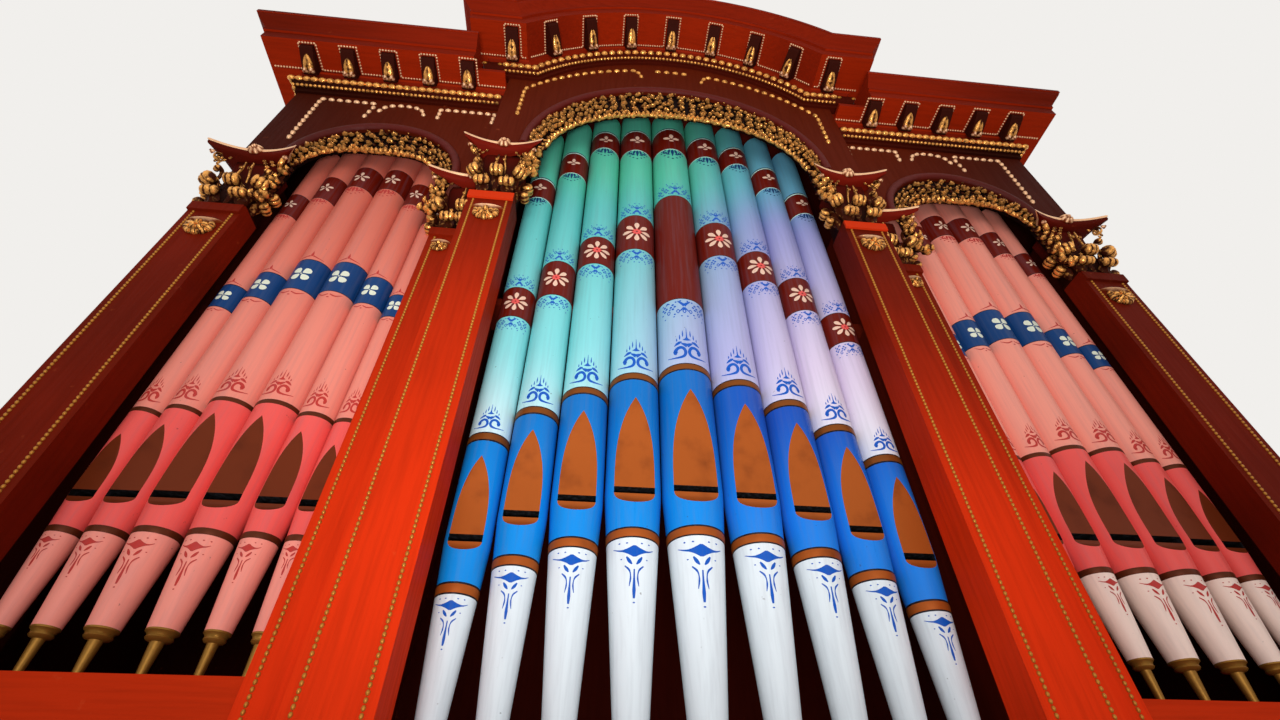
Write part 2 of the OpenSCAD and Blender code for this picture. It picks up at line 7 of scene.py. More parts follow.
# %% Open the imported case
import math
import bmesh
import bpy
import numpy as np
from mathutils import Euler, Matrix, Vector


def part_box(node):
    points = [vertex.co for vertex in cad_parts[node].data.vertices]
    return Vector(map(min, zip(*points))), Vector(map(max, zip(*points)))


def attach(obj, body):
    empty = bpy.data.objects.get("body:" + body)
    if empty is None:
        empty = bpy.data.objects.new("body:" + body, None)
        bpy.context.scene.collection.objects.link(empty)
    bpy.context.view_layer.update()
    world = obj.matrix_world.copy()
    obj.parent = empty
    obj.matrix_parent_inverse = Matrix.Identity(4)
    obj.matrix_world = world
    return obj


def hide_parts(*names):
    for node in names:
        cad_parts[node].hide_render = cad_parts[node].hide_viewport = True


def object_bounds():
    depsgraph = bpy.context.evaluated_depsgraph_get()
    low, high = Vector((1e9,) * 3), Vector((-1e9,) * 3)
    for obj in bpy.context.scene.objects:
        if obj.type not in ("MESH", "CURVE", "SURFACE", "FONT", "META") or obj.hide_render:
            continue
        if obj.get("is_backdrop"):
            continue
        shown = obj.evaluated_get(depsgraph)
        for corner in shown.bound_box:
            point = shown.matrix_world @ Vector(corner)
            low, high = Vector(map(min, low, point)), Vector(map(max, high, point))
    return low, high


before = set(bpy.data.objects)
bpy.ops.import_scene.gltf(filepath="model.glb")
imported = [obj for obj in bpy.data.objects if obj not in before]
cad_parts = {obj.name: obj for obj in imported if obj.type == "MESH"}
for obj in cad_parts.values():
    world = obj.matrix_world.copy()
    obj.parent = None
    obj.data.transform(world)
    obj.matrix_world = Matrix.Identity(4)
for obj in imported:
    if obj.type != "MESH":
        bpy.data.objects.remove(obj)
cad_low, cad_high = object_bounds()
print("case", [round(v, 3) for v in cad_high - cad_low], "metres over all")

# %% [markdown]
# ## Places across and up the front
# The places across and up come from the imported pieces, so none has to be fitted by eye.
# Depths are measured forward from the plane that the pipe fronts touch, as an organ builder
# would.

# %% Read the places off the case
PIPE_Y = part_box("left_flat_pipes")[0].y
OPEN_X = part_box("inner_pilaster_right")[0].x
HALF_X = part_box("half_pilaster_right")[0].x
SIDE_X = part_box("half_pilaster_right")[1].x
OUTER_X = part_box("outer_pilaster_right")[0].x
END_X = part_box("outer_pilaster_right")[1].x
SIDE_MID = (SIDE_X + OUTER_X) / 2
IMPOST_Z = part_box("inner_pilaster_right")[0].z
INNER_NECK_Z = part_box("inner_pilaster_right")[1].z
SMALL_NECK_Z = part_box("outer_pilaster_right")[1].z
INNER_CAP_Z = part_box("inner_capital_right")[1].z
SMALL_CAP_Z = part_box("outer_capital_right")[1].z
SIDE_SOFFIT_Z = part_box("modillions_right")[1].z
EAR_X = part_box("bead_course_centre")[1].x
INNER_FACE = 0.130
HALF_FACE = 0.060
OUTER_FACE = 0.100
CENTRE_FACE = INNER_FACE + 0.020


def forward(depth):
    """The Y of a place that stands that far in front of the pipes."""
    return PIPE_Y - depth


print("openings", round(2 * OPEN_X, 3), "and", round(OUTER_X - SIDE_X, 3), "metres wide")

# %% [markdown]
# ## The eye
# The organ is seen from close below, with a short lens tilted steeply up. A 16 mm lens at
# a standing person's eye gives the strong spread of the pipes towards the floor.

# %% Stand the camera in front of the pipes
EYE_Z = 1.60
SIGHT = 1.75
EYE = Vector((-0.368, forward(SIGHT), EYE_Z))
LENS_MM = 16.3
PITCH_DEG = 42.53
YAW_DEG = 5.43

camera = bpy.data.objects.new("eye", bpy.data.cameras.new("eye"))
camera.data.lens = LENS_MM
camera.data.clip_start = 0.05
camera.location = EYE
camera.rotation_euler = Euler((math.radians(90 + PITCH_DEG), 0, math.radians(-YAW_DEG)))
bpy.context.scene.collection.objects.link(camera)
bpy.context.scene.camera = camera
bpy.context.scene.view_settings.view_transform = "Standard"
print("camera", [round(v, 3) for v in camera.location])

# %% [markdown]
# ## Numbers that change over a surface
# A finish is a node tree. One small class lets plain arithmetic build its Math nodes, and
# one method adds every other kind of node, with its settings first and its sockets next.


# %% Make the finish builder
def srgb(code):
    """A paint colour such as #c23614 as the linear values that a shader works with."""
    parts = [int(code[i:i + 2], 16) / 255 for i in (1, 3, 5)]
    return [p / 12.92 if p <= 0.04045 else ((p + 0.055) / 1.055) ** 2.4 for p in parts] + [1.0]


class Reading:
    """One socket of a finish. Arithmetic on readings adds Math nodes."""

    def __init__(self, finish, socket):
        self.finish = finish
        self.socket = socket

    def _maths(self, operation, *values):
        return self.finish.add("ShaderNodeMath", {"operation": operation}, dict(enumerate(values)))

    def __add__(self, other):
        return self._maths("ADD", self, other)

    def __sub__(self, other):
        return self._maths("SUBTRACT", self, other)

    def __rsub__(self, other):
        return self._maths("SUBTRACT", other, self)

    def __mul__(self, other):
        return self._maths("MULTIPLY", self, other)

    def __abs__(self):
        return self._maths("ABSOLUTE", self)

    __radd__ = __add__
    __rmul__ = __mul__

    def fade(self, start, end):
        """0 before start, 1 after end, and a smooth change between them."""
        sockets = {"Value": self, "From Min": start, "From Max": end}
        settings = {"interpolation_type": "SMOOTHSTEP"}
        return self.finish.add("ShaderNodeMapRange", settings, sockets)


class Finish:
    """A material under construction."""

    def __init__(self, name):
        self.material = bpy.data.materials.new(name)
        self.material.use_nodes = True
        self.nodes = self.material.node_tree.nodes
        self.nodes.clear()

    def add(self, kind, settings=None, sockets=None, out=0):
        """Adds a node of that kind and gives one of its outputs back as a reading."""
        node = self.nodes.new(kind)
        for name, value in (settings or {}).items():
            setattr(node, name, value)
        for name, value in (sockets or {}).items():
            if isinstance(value, Reading):
                self.material.node_tree.links.new(value.socket, node.inputs[name])
            else:
                node.inputs[name].default_value = value
        return Reading(self, node.outputs[out]) if node.outputs else None

    def spot(self):
        """The place on the object, in metres."""
        return self.add("ShaderNodeTexCoord", out=3)

    def axis(self, spot, letter):
        return self.add("ShaderNodeSeparateXYZ", sockets={0: spot}, out="XYZ".index(letter))

    def noise(self, spot, scale, detail=3.0, stretch=(1, 1, 1)):
        """Noise over the object, finer across than along where stretch says so."""
        placed = self.add("ShaderNodeMapping", sockets={"Vector": spot, "Scale": stretch})
        return self.add("ShaderNodeTexNoise", sockets={"Vector": placed, "Scale": scale, "Detail": detail})

    def deep(self):
        """How deep a point of the carving lies, from 0 on a swell to 1 in a hollow, for painted shade."""
        return self.add("ShaderNodeAttribute", {"attribute_name": "deep"}, out=2)

    def blend(self, share, first, second):
        """A mix of two colours by a share from 0 to 1."""
        settings = {"data_type": "RGBA", "clamp_factor": True}
        return self.add("ShaderNodeMix", settings, {0: share, 6: first, 7: second}, out=2)

    def bump(self, height, depth, strength=0.6):
        return self.add("ShaderNodeBump", sockets={"Height": height, "Distance": depth, "Strength": strength})

    def close(self, **sockets):
        """Ends the finish in one Principled shader and gives the material back."""
        named = {name.replace("_", " "): value for name, value in sockets.items()}
        shader = self.add("ShaderNodeBsdfPrincipled", sockets=named)
        self.add("ShaderNodeOutputMaterial", sockets={"Surface": shader})
        return self.material


print("finish builder ready")

# %% [markdown]
# ## Floor, backdrop and light
# A plain pale floor and an even sky keep the paint colours as they are mixed. Three soft
# lamps stand low in front, because most of what shows faces forward or down.


# %% Lay the floor and hang the lamps
def lamp(name, place, target, width, watts, spread=180):
    light = bpy.data.lights.new(name, "AREA")
    light.shape = "RECTANGLE"
    light.size = width
    light.size_y = width * 0.6
    light.energy = watts
    light.spread = math.radians(spread)
    holder = bpy.data.objects.new(name, light)
    holder.location = place
    holder.rotation_euler = (Vector(target) - Vector(place)).to_track_quat("-Z", "Y").to_euler()
    bpy.context.scene.collection.objects.link(holder)


FLOOR_SIZE = 40.0
SKY_STRENGTH = 0.47
BACKDROP = srgb("#f1efec")

floor_mesh = bpy.data.meshes.new("floor")
corners = [(x * FLOOR_SIZE / 2, y * FLOOR_SIZE / 2, 0) for x, y in ((-1, -1), (1, -1), (1, 1), (-1, 1))]
floor_mesh.from_pydata(corners, [], [(0, 1, 2, 3)])
floor = bpy.data.objects.new("floor", floor_mesh)
bpy.context.scene.collection.objects.link(floor)
floor_finish = Finish("pale_floor")
floor_mesh.materials.append(floor_finish.close(Base_Color=srgb("#e6e3de"), Roughness=0.9))
floor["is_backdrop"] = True

world = bpy.data.worlds.new("sky")
world.use_nodes = True
bpy.context.scene.world = world
sky = world.node_tree
rays = sky.nodes.new("ShaderNodeLightPath").outputs
seen = rays["Is Camera Ray"]
for kind in ("Is Glossy Ray", "Is Transmission Ray"):
    either = sky.nodes.new("ShaderNodeMath")
    either.operation = "MAXIMUM"
    sky.links.new(seen, either.inputs[0])
    sky.links.new(rays[kind], either.inputs[1])
    seen = either.outputs[0]
shown = sky.nodes.new("ShaderNodeBackground")
shown.inputs["Color"].default_value = BACKDROP
lighting = sky.nodes["Background"]
lighting.inputs["Color"].default_value = (1, 1, 1, 1)
lighting.inputs["Strength"].default_value = SKY_STRENGTH
switch = sky.nodes.new("ShaderNodeMixShader")
sky.links.new(seen, switch.inputs[0])
sky.links.new(lighting.outputs[0], switch.inputs[1])
sky.links.new(shown.outputs[0], switch.inputs[2])
sky.links.new(switch.outputs[0], sky.nodes["World Output"].inputs["Surface"])

lamp("front_lamp", (-0.6, -6.5, 2.2), (0, PIPE_Y, 3.6), 4.5, 84)
lamp("low_lamp", (0.8, -4.4, 1.0), (0, PIPE_Y, 4.6), 3.0, 12)
lamp("upward_lamp", (-0.5, PIPE_Y - 2.1, 1.0), (-0.2, PIPE_Y, 5.3), 0.9, 26, 90)
print("floor", FLOOR_SIZE, "metres, 3 lamps")

# %% [markdown]
# ## Stained wood
# The case is red lacquered pine: bright near the middle and low down, and darker towards
# the ends and the top, where its stains carry painted shade. The grain runs along each
# board. The mouldings, the friezes and the ground behind the carving have darker stains.


# %% Mix the stains
NECKING = (INNER_NECK_Z - 0.066, INNER_NECK_Z - 0.064)


def stained_wood(name, bright, brown, upright=True, darkening=(1.25, 2.0, 1.9, 4.6), amount=0.95,
                 under=None, shine=0.03, front=False):
    """Painted shade: darker outwards and upwards, between the first two and the last two of darkening.

    under is the lighter colour of what faces the floor, painted light from below. front is for
    the pilasters and the boards between them: they stay red at the foot, darken early on the
    right as painted shade, and have bright neckings.
    """
    finish = Finish(name)
    spot = finish.spot()
    side = abs(finish.axis(spot, "X"))
    height = finish.axis(spot, "Z")
    stretch = (9, 9, 0.5) if upright else (0.5, 9, 9)
    grain = finish.noise(spot, 7.0, 6.0, stretch)
    cloud = finish.noise(spot, 1.4, 4.0)
    outward = side.fade(darkening[0], darkening[1])
    upward = height.fade(darkening[2], darkening[3])
    if front:
        outward = outward * height.fade(0.9, 1.7)
        # painted shade on the upper right of the front
        on_right = finish.axis(spot, "X").fade(0.4, 0.75) * height.fade(2.3, 3.7)
        upward = upward + on_right * (1 - upward) * 0.8
    # painted shade: the stain darkens outwards and upwards, with random clouds in it
    painted_shade = (outward + upward - outward * upward) * amount + (cloud - 0.5) * 0.30
    colour = finish.blend(painted_shade, srgb(bright), srgb(brown))
    # painted light from below: faces towards the floor take the lighter under colour
    if under:
        facing = finish.add("ShaderNodeTexCoord", out=1)
        colour = finish.blend((finish.axis(facing, "Z") * -1.0).fade(0.75, 0.95), colour, srgb(under))
    streak = (grain - 0.42) * 1.6
    colour = finish.blend(streak * 0.38, colour, srgb("#2c0803"))
    if front:
        face = -forward(INNER_FACE)
        ahead = (finish.axis(spot, "Y") * -1).fade(face + 0.002, face + 0.004)
        colour = finish.blend(height.fade(*NECKING) * ahead * 0.85, colour, srgb("#e03a14"))
    scuff = finish.noise(spot, 22.0, 5.0).fade(0.70, 0.82)
    colour = finish.blend(scuff * 0.18, colour, srgb("#e8713e"))
    rough = 0.46 + grain * 0.22
    normal = finish.bump(grain + cloud * 0.5, 0.004, 0.35)
    return finish.close(Base_Color=colour, Roughness=rough, Normal=normal, Specular_IOR_Level=shine)


print("stained wood ready")

# %% [markdown]
# Each kind of board gets its own stain. Most of them take painted shade only outwards, so
# their second pair of heights lies above the organ.

# %% Stain each kind of board
NEVER = (9, 10)
LEVEL = {"upright": False, "darkening": (1.4, 2.5, *NEVER)}
red_upright = stained_wood("red_stain_upright", "#e4340c", "#5a1406", amount=0.95, front=True)
# the lighter under colour of the level boards is painted light from below
red_level = stained_wood("red_stain_level", "#8c2008", "#6c1806", under="#a62808", **LEVEL)
roll_wood = stained_wood("archivolt_stain", "#5c1006", "#3c0b04", shine=0.20, **LEVEL)
frieze_wood = stained_wood("frieze_stain", "#5e1a06", "#401004", darkening=(1.2, 2.3, *NEVER))
plain_wood = stained_wood("plain_stain", "#62190b", "#3c1008", darkening=(1.0, 2.3, *NEVER))
rail_wood = stained_wood("rail_stain", "#c8300b", "#8a2008", upright=False,
                         darkening=(1.6, 2.4, *NEVER), amount=0.6)
bell_wood = stained_wood("bell_stain", "#4a1005", "#260903", darkening=(0.9, 2.3, *NEVER))
capital_red = stained_wood("capital_stain", "#74170a", "#4a0f05", **LEVEL)
stains = (red_upright, red_level, roll_wood, frieze_wood, plain_wood, rail_wood, bell_wood, capital_red)
print("stains", [m.name for m in stains])


def carved_ground(name, high, low):
    """The stained wood behind carving, which darkens where it lies deep, as painted shade."""
    finish = Finish(name)
    spot = finish.spot()
    grain = finish.noise(spot, 9.0, 5.0, (6, 6, 0.6))
    colour = finish.blend(finish.deep() + (grain - 0.5) * 0.4, srgb(high), srgb(low))
    return finish.close(Base_Color=colour, Roughness=0.5 + grain * 0.2,
                        Normal=finish.bump(grain, 0.003, 0.4), Specular_IOR_Level=0.03)


# both grounds darken with depth as painted shade; the second is nearly black as painted shadow
bell_red = carved_ground("bell_ground", "#54120a", "#260a04")
shadow_black = carved_ground("shade_ground", "#3a120a", "#120605")

# %% [markdown]
# ## Gold leaf, copper and brass
# Leaf gold on carving is bright on the swells and brown in the hollows, as painted shade.
# Each carved piece stores how deep a point lies, and the finish reads that.


# %% Lay the leaf
def metal(name, bright, hollow, rough=0.32, metallic=0.9, mottle_and_painted_light=0.3, fine=90.0, relief=0.001):
    """Bright on swells, dull in hollows as painted shade; a strong mottle also paints light; relief roughens."""
    finish = Finish(name)
    spot = finish.spot()
    patch = finish.noise(spot, fine * 0.6, 3.0)
    share = (finish.deep() + (patch - 0.45) * mottle_and_painted_light).fade(0.0, 1.0)
    colour = finish.blend(share, srgb(bright), srgb(hollow))
    normal = finish.bump(finish.noise(spot, fine, 2.0), relief, 0.6)
    return finish.close(Base_Color=colour, Roughness=rough + share * 0.35,
                        Metallic=(1 - share) * metallic, Normal=normal, Specular_IOR_Level=0.1)


# on gold leaf the strong mottle paints small highlights and dark gaps over the carving
gold_leaf = metal("gold_leaf", "#ffb45e", "#3c1203", 0.22, 0.70, 2.8, 80.0, 0.006)
# pale pinkish gold: a painted highlight on slab edges, lobes, awnings and bead strings
highlight_gold = metal("highlight_gold", "#ffca9c", "#7a3210", 0.38, 0.5, 1.2)
dull_gold = metal("dull_gold", "#b87a30", "#34160a", 0.40, 0.5)
copper_paint = metal("copper_paint", "#a8541f", "#4c1a08", 0.42, 0.25, 1.8, 14.0)
brown_paint = metal("brown_bronze_paint", "#6e2c12", "#2e0f06", 0.42, 0.2, 1.6, 14.0)
hoop_paint = metal("hoop_bronze_paint", "#5c2a16", "#1c0a05", 0.36, 0.3, 1.4, 14.0)
upper_hoop_paint = metal("hoop_copper_paint", "#84481c", "#3a1a08", 0.36, 0.3, 1.6, 14.0)
brass = metal("toe_brass", "#94692c", "#35220c", 0.34, 0.5, 0.8)
print("metals ready")

# %% [markdown]
# ## Pipe paint
# The middle pipes are white at the foot and shade into sea green at the upper left and
# into lavender at the upper right. The side pipes are salmon pink, and the feet of the
# right flat are nearly white. Long soft streaks run down the metal, as a brush leaves them.


# %% Mix the pipe paint
def pipe_paint(name, colour_of, rough=0.28):
    """A glossy paint on pipe metal; colour_of(finish, spot) gives its colour."""
    finish = Finish(name)
    spot = finish.spot()
    brush = finish.noise(spot, 5.0, 5.0, (14, 14, 0.6))
    colour = finish.blend((brush - 0.45) * 0.5, colour_of(finish, spot), srgb("#6d6f7c"))
    speck = finish.noise(spot, 60.0, 2.0).fade(0.74, 0.80)
    colour = finish.blend(speck * 0.5, colour, srgb("#3a2a24"))
    dents = finish.noise(spot, 3.2, 2.0)
    normal = finish.bump(dents + brush * 0.1, 0.010, 0.25)
    return finish.close(Base_Color=colour, Roughness=rough + brush * 0.12, Normal=normal,
                        Specular_IOR_Level=0.12, Coat_Weight=0.03, Coat_Roughness=0.2)


def one_colour(name, code, rough=0.35):
    """A paint of one colour, a little darker in its own clouds."""
    def colour_of(finish, spot):
        cloud = finish.noise(spot, 4.0, 3.0)
        deeper = [v * 0.72 for v in srgb(code)[:3]] + [1.0]
        return finish.blend((cloud - 0.4) * 0.9, srgb(code), deeper)
    return pipe_paint(name, colour_of, rough)


print("pipe paint ready")

# %% [markdown]
# Three paints change over the flats: the ground of the middle pipes, their blue zone and
# the pink ground of the side pipes. Each is a function from a place to a colour.


# %% Shade the grounds
def middle_ground(finish, spot):
    """White below, sea green upper left, lavender upper right; paler under the arch as painted light."""
    across = finish.axis(spot, "X")
    height = finish.axis(spot, "Z")
    rise = height.fade(2.75, 4.7)
    right = (across + (height - 3.4) * -0.16).fade(-0.30, 0.42)
    top_right = finish.blend(height.fade(4.2, 5.2), srgb("#8a92cf"), srgb("#6f83c0"))
    lower_right = across.fade(-0.50, 0.10)
    upper = finish.blend(right, srgb("#58c2bd"), top_right)
    # painted light: paler paint just under the arch, where the carving's shadow falls
    painted_light_under_arch = finish.blend(right, srgb("#5ccaa8"), srgb("#68b2cc"))
    upper = finish.blend(height.fade(4.25, 4.8) * 0.9, upper, painted_light_under_arch)
    middle = finish.blend(lower_right, srgb("#8fdfe4"), srgb("#b8b3de"))
    middle = finish.blend(across.fade(0.15, 0.60), middle, srgb("#ead6ea"))
    lower = finish.blend(height.fade(2.55, 3.35), srgb("#e4edf3"), middle)
    return finish.blend(rise, lower, upper)


def blue_zone(finish, spot):
    """Sky blue on the left pipes and ultramarine on the right ones."""
    across = finish.axis(spot, "X")
    height = finish.axis(spot, "Z")
    ultramarine = finish.blend(height.fade(2.45, 3.05), srgb("#1f80e4"), srgb("#1a4fb4"))
    sky_blue = finish.blend(height.fade(2.45, 3.05), srgb("#118be2"), srgb("#0d70c0"))
    return finish.blend(across.fade(-0.12, 0.30), sky_blue, ultramarine)


def side_ground(finish, spot):
    """Salmon pink, deeper at the left feet and much paler at the right ones."""
    height = finish.axis(spot, "Z")
    right = finish.axis(spot, "X").fade(-0.5, 0.5)
    body = finish.blend(height.fade(3.0, 4.3), srgb("#f28f7d"), srgb("#dc715d"))
    body = finish.blend(right * 0.6, body, srgb("#ffa692"))
    foot = finish.blend(right, srgb("#fc9a8a"), srgb("#ffe2d4"))
    return finish.blend(height.fade(2.35, 2.75), foot, body)


middle_white = pipe_paint("middle_pipe_ground", middle_ground)
zone_blue = pipe_paint("zone_blue", blue_zone, 0.24)
side_pink = pipe_paint("side_pipe_ground", side_ground)
print("grounds ready")

# %% [markdown]
# The bands, lines and stencils each have one colour.

# %% Mix the plain colours
zone_red = one_colour("zone_coral", "#f55e58", 0.26)
maroon = one_colour("band_maroon", "#6a1304", 0.4)
band_blue = one_colour("band_blue", "#123f78", 0.30)
line_black = one_colour("line_black", "#1a1216")
line_pale = one_colour("line_pale", "#d3efe6")
line_teal = one_colour("line_teal", "#0b3f4c")
mouth_dark = one_colour("mouth_shadow", "#0c0908", 0.8)
stencil_blue = one_colour("stencil_blue", "#0f58be")
stencil_red = one_colour("stencil_red", "#c43a34")
stencil_navy = one_colour("stencil_navy", "#153c70")
petal_cream = one_colour("petal_cream", "#f3c9b0")
petal_white = one_colour("petal_white", "#eef2dc")
print("paints ready")

# %% [markdown]
# ## A mould for meshes
# Every modelled piece is gathered in a mould: loose grids and closed bands of points with
# the number of their paint. The mould welds them, turns the faces outward and makes one
# object, which rides on the case.


# %% Make the mould
SEAM = 1e-5


class Mould:
    """Points with their depths, and faces with their paints, until they become a piece."""

    def __init__(self):
        self.points = []
        self.faces = []
        self.paints = []
        self.deeps = []

    def add(self, points, faces, paint=0, deep=0.0):
        start = len(self.points)
        points = np.asarray(points, float).reshape(-1, 3)
        self.points.extend(map(tuple, points))
        self.deeps.extend(np.broadcast_to(np.asarray(deep, float).ravel(), len(points)))
        self.faces.extend([tuple(start + i for i in f) for f in faces])
        self.paints.extend([paint] * len(faces) if np.isscalar(paint) else list(paint))

    def grid(self, rows, paint=0, deep=0.0, ring=False):
        """Quads over rows of points; ring joins each row's end to its start."""
        rows = np.asarray(rows, float)
        n, m = rows.shape[:2]
        faces = []
        paints = []
        for i in range(n - 1):
            for j in range(m if ring else m - 1):
                k = (j + 1) % m
                faces.append((i * m + j, i * m + k, (i + 1) * m + k, (i + 1) * m + j))
                paints.append(paint if np.isscalar(paint) else paint[i])
        self.add(rows, faces, paints, deep)

    def closed(self, rows, paint=0, deep=0.0, end_paint=None, end_deep=1.0):
        """Rings of points with one flat face on each end."""
        self.grid(rows, paint, deep, ring=True)
        end_paint = paint if end_paint is None else end_paint
        for end in (rows[0], rows[-1]):
            self.add(end, [tuple(range(len(end)))], end_paint, end_deep)

    def piece(self, name, materials, slot, replaces=(), sharp_deg=38.0, weld=True, outward=True):
        """One object with everything in the mould, riding on the case."""
        mesh = bpy.data.meshes.new(name)
        mesh.from_pydata(self.points, [], self.faces)
        for material in materials:
            mesh.materials.append(material)
        mesh.polygons.foreach_set("material_index", np.array(self.paints, np.int32))
        depth = mesh.attributes.new("deep", "FLOAT", "POINT")
        depth.data.foreach_set("value", np.array(self.deeps, np.float32))
        shape = bmesh.new()
        shape.from_mesh(mesh)
        if weld:
            bmesh.ops.remove_doubles(shape, verts=shape.verts, dist=SEAM)
            flat = [f for f in shape.faces if f.calc_area() < 1e-12]
            bmesh.ops.delete(shape, geom=flat, context="FACES_ONLY")
        if outward:
            bmesh.ops.recalc_face_normals(shape, faces=shape.faces)
        shape.to_mesh(mesh)
        shape.free()
        mesh.shade_smooth()
        mesh.set_sharp_from_angle(angle=math.radians(sharp_deg))
        made = bpy.data.objects.new(name, mesh)
        bpy.context.scene.collection.objects.link(made)
        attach(made, "root")
        if replaces:
            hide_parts(*replaces)
        triangles = sum(len(p.vertices) - 2 for p in mesh.polygons)
        print(name, triangles, "triangles")


print("mould ready")

# %% [markdown]
# ## The pipes
# A display pipe is a tube on a cone. The metal of the mouth is pressed flat into a leaf
# with a pointed top, and the slot is cut under it. The outline of the leaf is an edge of
# the mesh, so that the paint stops exactly on it at any distance.

# %% Set the pipes' sizes
LIP_SHARE = 0.71
MOUTH_H = 0.024
METAL_T = 0.003
MOUTH_DEPTH = 0.05
LEAF_RISE = 1.88
LOWER_LIP = 0.235
COLUMNS = 60
LEAF_COLUMNS = 8


def top_of(node, x, reach):
    """The top of the pipe of a CAD node that stands at x."""
    points = np.array([v.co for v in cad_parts[node].data.vertices])
    return float(points[abs(points[:, 0] - x) < reach][:, 2].max())


class Pipe:
    """The sizes of one pipe, and its radius at any height."""

    def __init__(self, node, x, dia, mouth, toe, ferrule_z, ferrule_dia, axis_depth):
        self.x = x
        self.y = forward(-axis_depth)
        self.dia = dia
        self.mouth = mouth
        self.slot = (mouth - MOUTH_H / 2, mouth + MOUTH_H / 2)
        self.toe = toe
        self.ferrule_z = ferrule_z
        self.ferrule_r = ferrule_dia / 2
        self.top = top_of(node, x, dia * 0.3)

    def radius(self, z):
        return float(np.interp(z, [self.ferrule_z, self.mouth], [self.ferrule_r, self.dia / 2]))

    def around(self, turn, r, z):
        """The point at radius r and height z, turned from the front."""
        return (self.x + r * math.sin(turn), self.y - r * math.cos(turn), z)

    def wrap(self, across, z, lift):
        """The point at a distance across the front, at height z, that far off the metal."""
        r = self.radius(z)
        return self.around(across / r, r + lift, z)


def graded(largest, share, gap, count, start):
    """Places of pipes worked outward from the largest one, each a share of its neighbour."""
    place, size = start, largest
    for _ in range(count):
        yield place, size
        place += (size + size * share) / 2 + gap
        size *= share


CENTRE_DIA, CENTRE_SHARE, CENTRE_GAP = 0.222, 0.91, 0.005
SIDE_DIA, SIDE_SHARE, SIDE_GAP = 0.156, 0.833, 0.004
CENTRE_MOUTH_Z, MOUTH_DROP, SIDE_MOUTH_Z = 2.645, 0.205, 2.528
SIDE_TOE_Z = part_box("left_flat_pipes")[0].z

middle_pipes = []
for i, (place, dia) in enumerate(graded(CENTRE_DIA, CENTRE_SHARE, CENTRE_GAP, 5, 0.0)):
    mouth = CENTRE_MOUTH_Z - MOUTH_DROP * (i / 4) ** 2
    for hand in ([1] if i == 0 else [-1, 1]):
        middle_pipes.append(Pipe("centre_flat_pipes", hand * place, dia, mouth,
                                 IMPOST_Z, IMPOST_Z + 0.14, dia * 0.38, CENTRE_DIA / 2))
middle_pipes.sort(key=lambda pipe: pipe.x)
side_pipes = {"left": [], "right": []}
for place, dia in graded(SIDE_DIA, SIDE_SHARE, SIDE_GAP, 3, (SIDE_DIA + SIDE_GAP) / 2):
    for flat, hand in (("left", -1), ("right", 1)):
        for s in (-1, 1):
            side_pipes[flat].append(Pipe(flat + "_flat_pipes", hand * SIDE_MID + s * place, dia,
                                         SIDE_MOUTH_Z, SIDE_TOE_Z, SIDE_TOE_Z + 0.133, dia * 0.53,
                                         SIDE_DIA / 2))
for flat in side_pipes:
    side_pipes[flat].sort(key=lambda pipe: abs(pipe.x), reverse=True)
print(len(middle_pipes), "middle pipes and", sum(map(len, side_pipes.values())), "side pipes")


# %% [markdown]
# ### Forming one pipe
# The outside is a grid whose rows are heights and whose columns go round. At the mouth the
# first and last column stay on the leaf's outline, and the pressed metal fills the space
# between them. Above and below, the two columns meet in a seam at the front.


# %% Form a pipe
def leaf_half(pipe, z):
    """Half the width of the pressed mouth at a height, or zero."""
    half = pipe.dia * LIP_SHARE / 2
    low, high = pipe.slot
    if z > high:
        share = (z - high) / (pipe.dia * LEAF_RISE)
        return half * max(0.0, 1 - share ** 3.1)
    if z < low:
        share = (low - z) / (pipe.dia * LOWER_LIP)
        return half * math.sqrt(max(0.0, 1 - share ** 2.0))
    return half


def heights(pipe, zones):
    """Row heights: every paint edge, a fine step at the mouth and a coarse one elsewhere."""
    low, high = pipe.slot
    rows = {round(z, 6) for zone in zones for z in zone[:2]}
    rows |= {round(high + pipe.dia * LEAF_RISE * i / 18, 6) for i in range(19)}
    rows |= {round(low - pipe.dia * LOWER_LIP * math.sin(math.pi / 2 * i / 7), 6) for i in range(8)}
    rows |= {round(z, 6) for z in np.linspace(pipe.ferrule_z, pipe.top, 14)}
    return sorted(z for z in rows if pipe.ferrule_z - SEAM < z < pipe.top + SEAM)


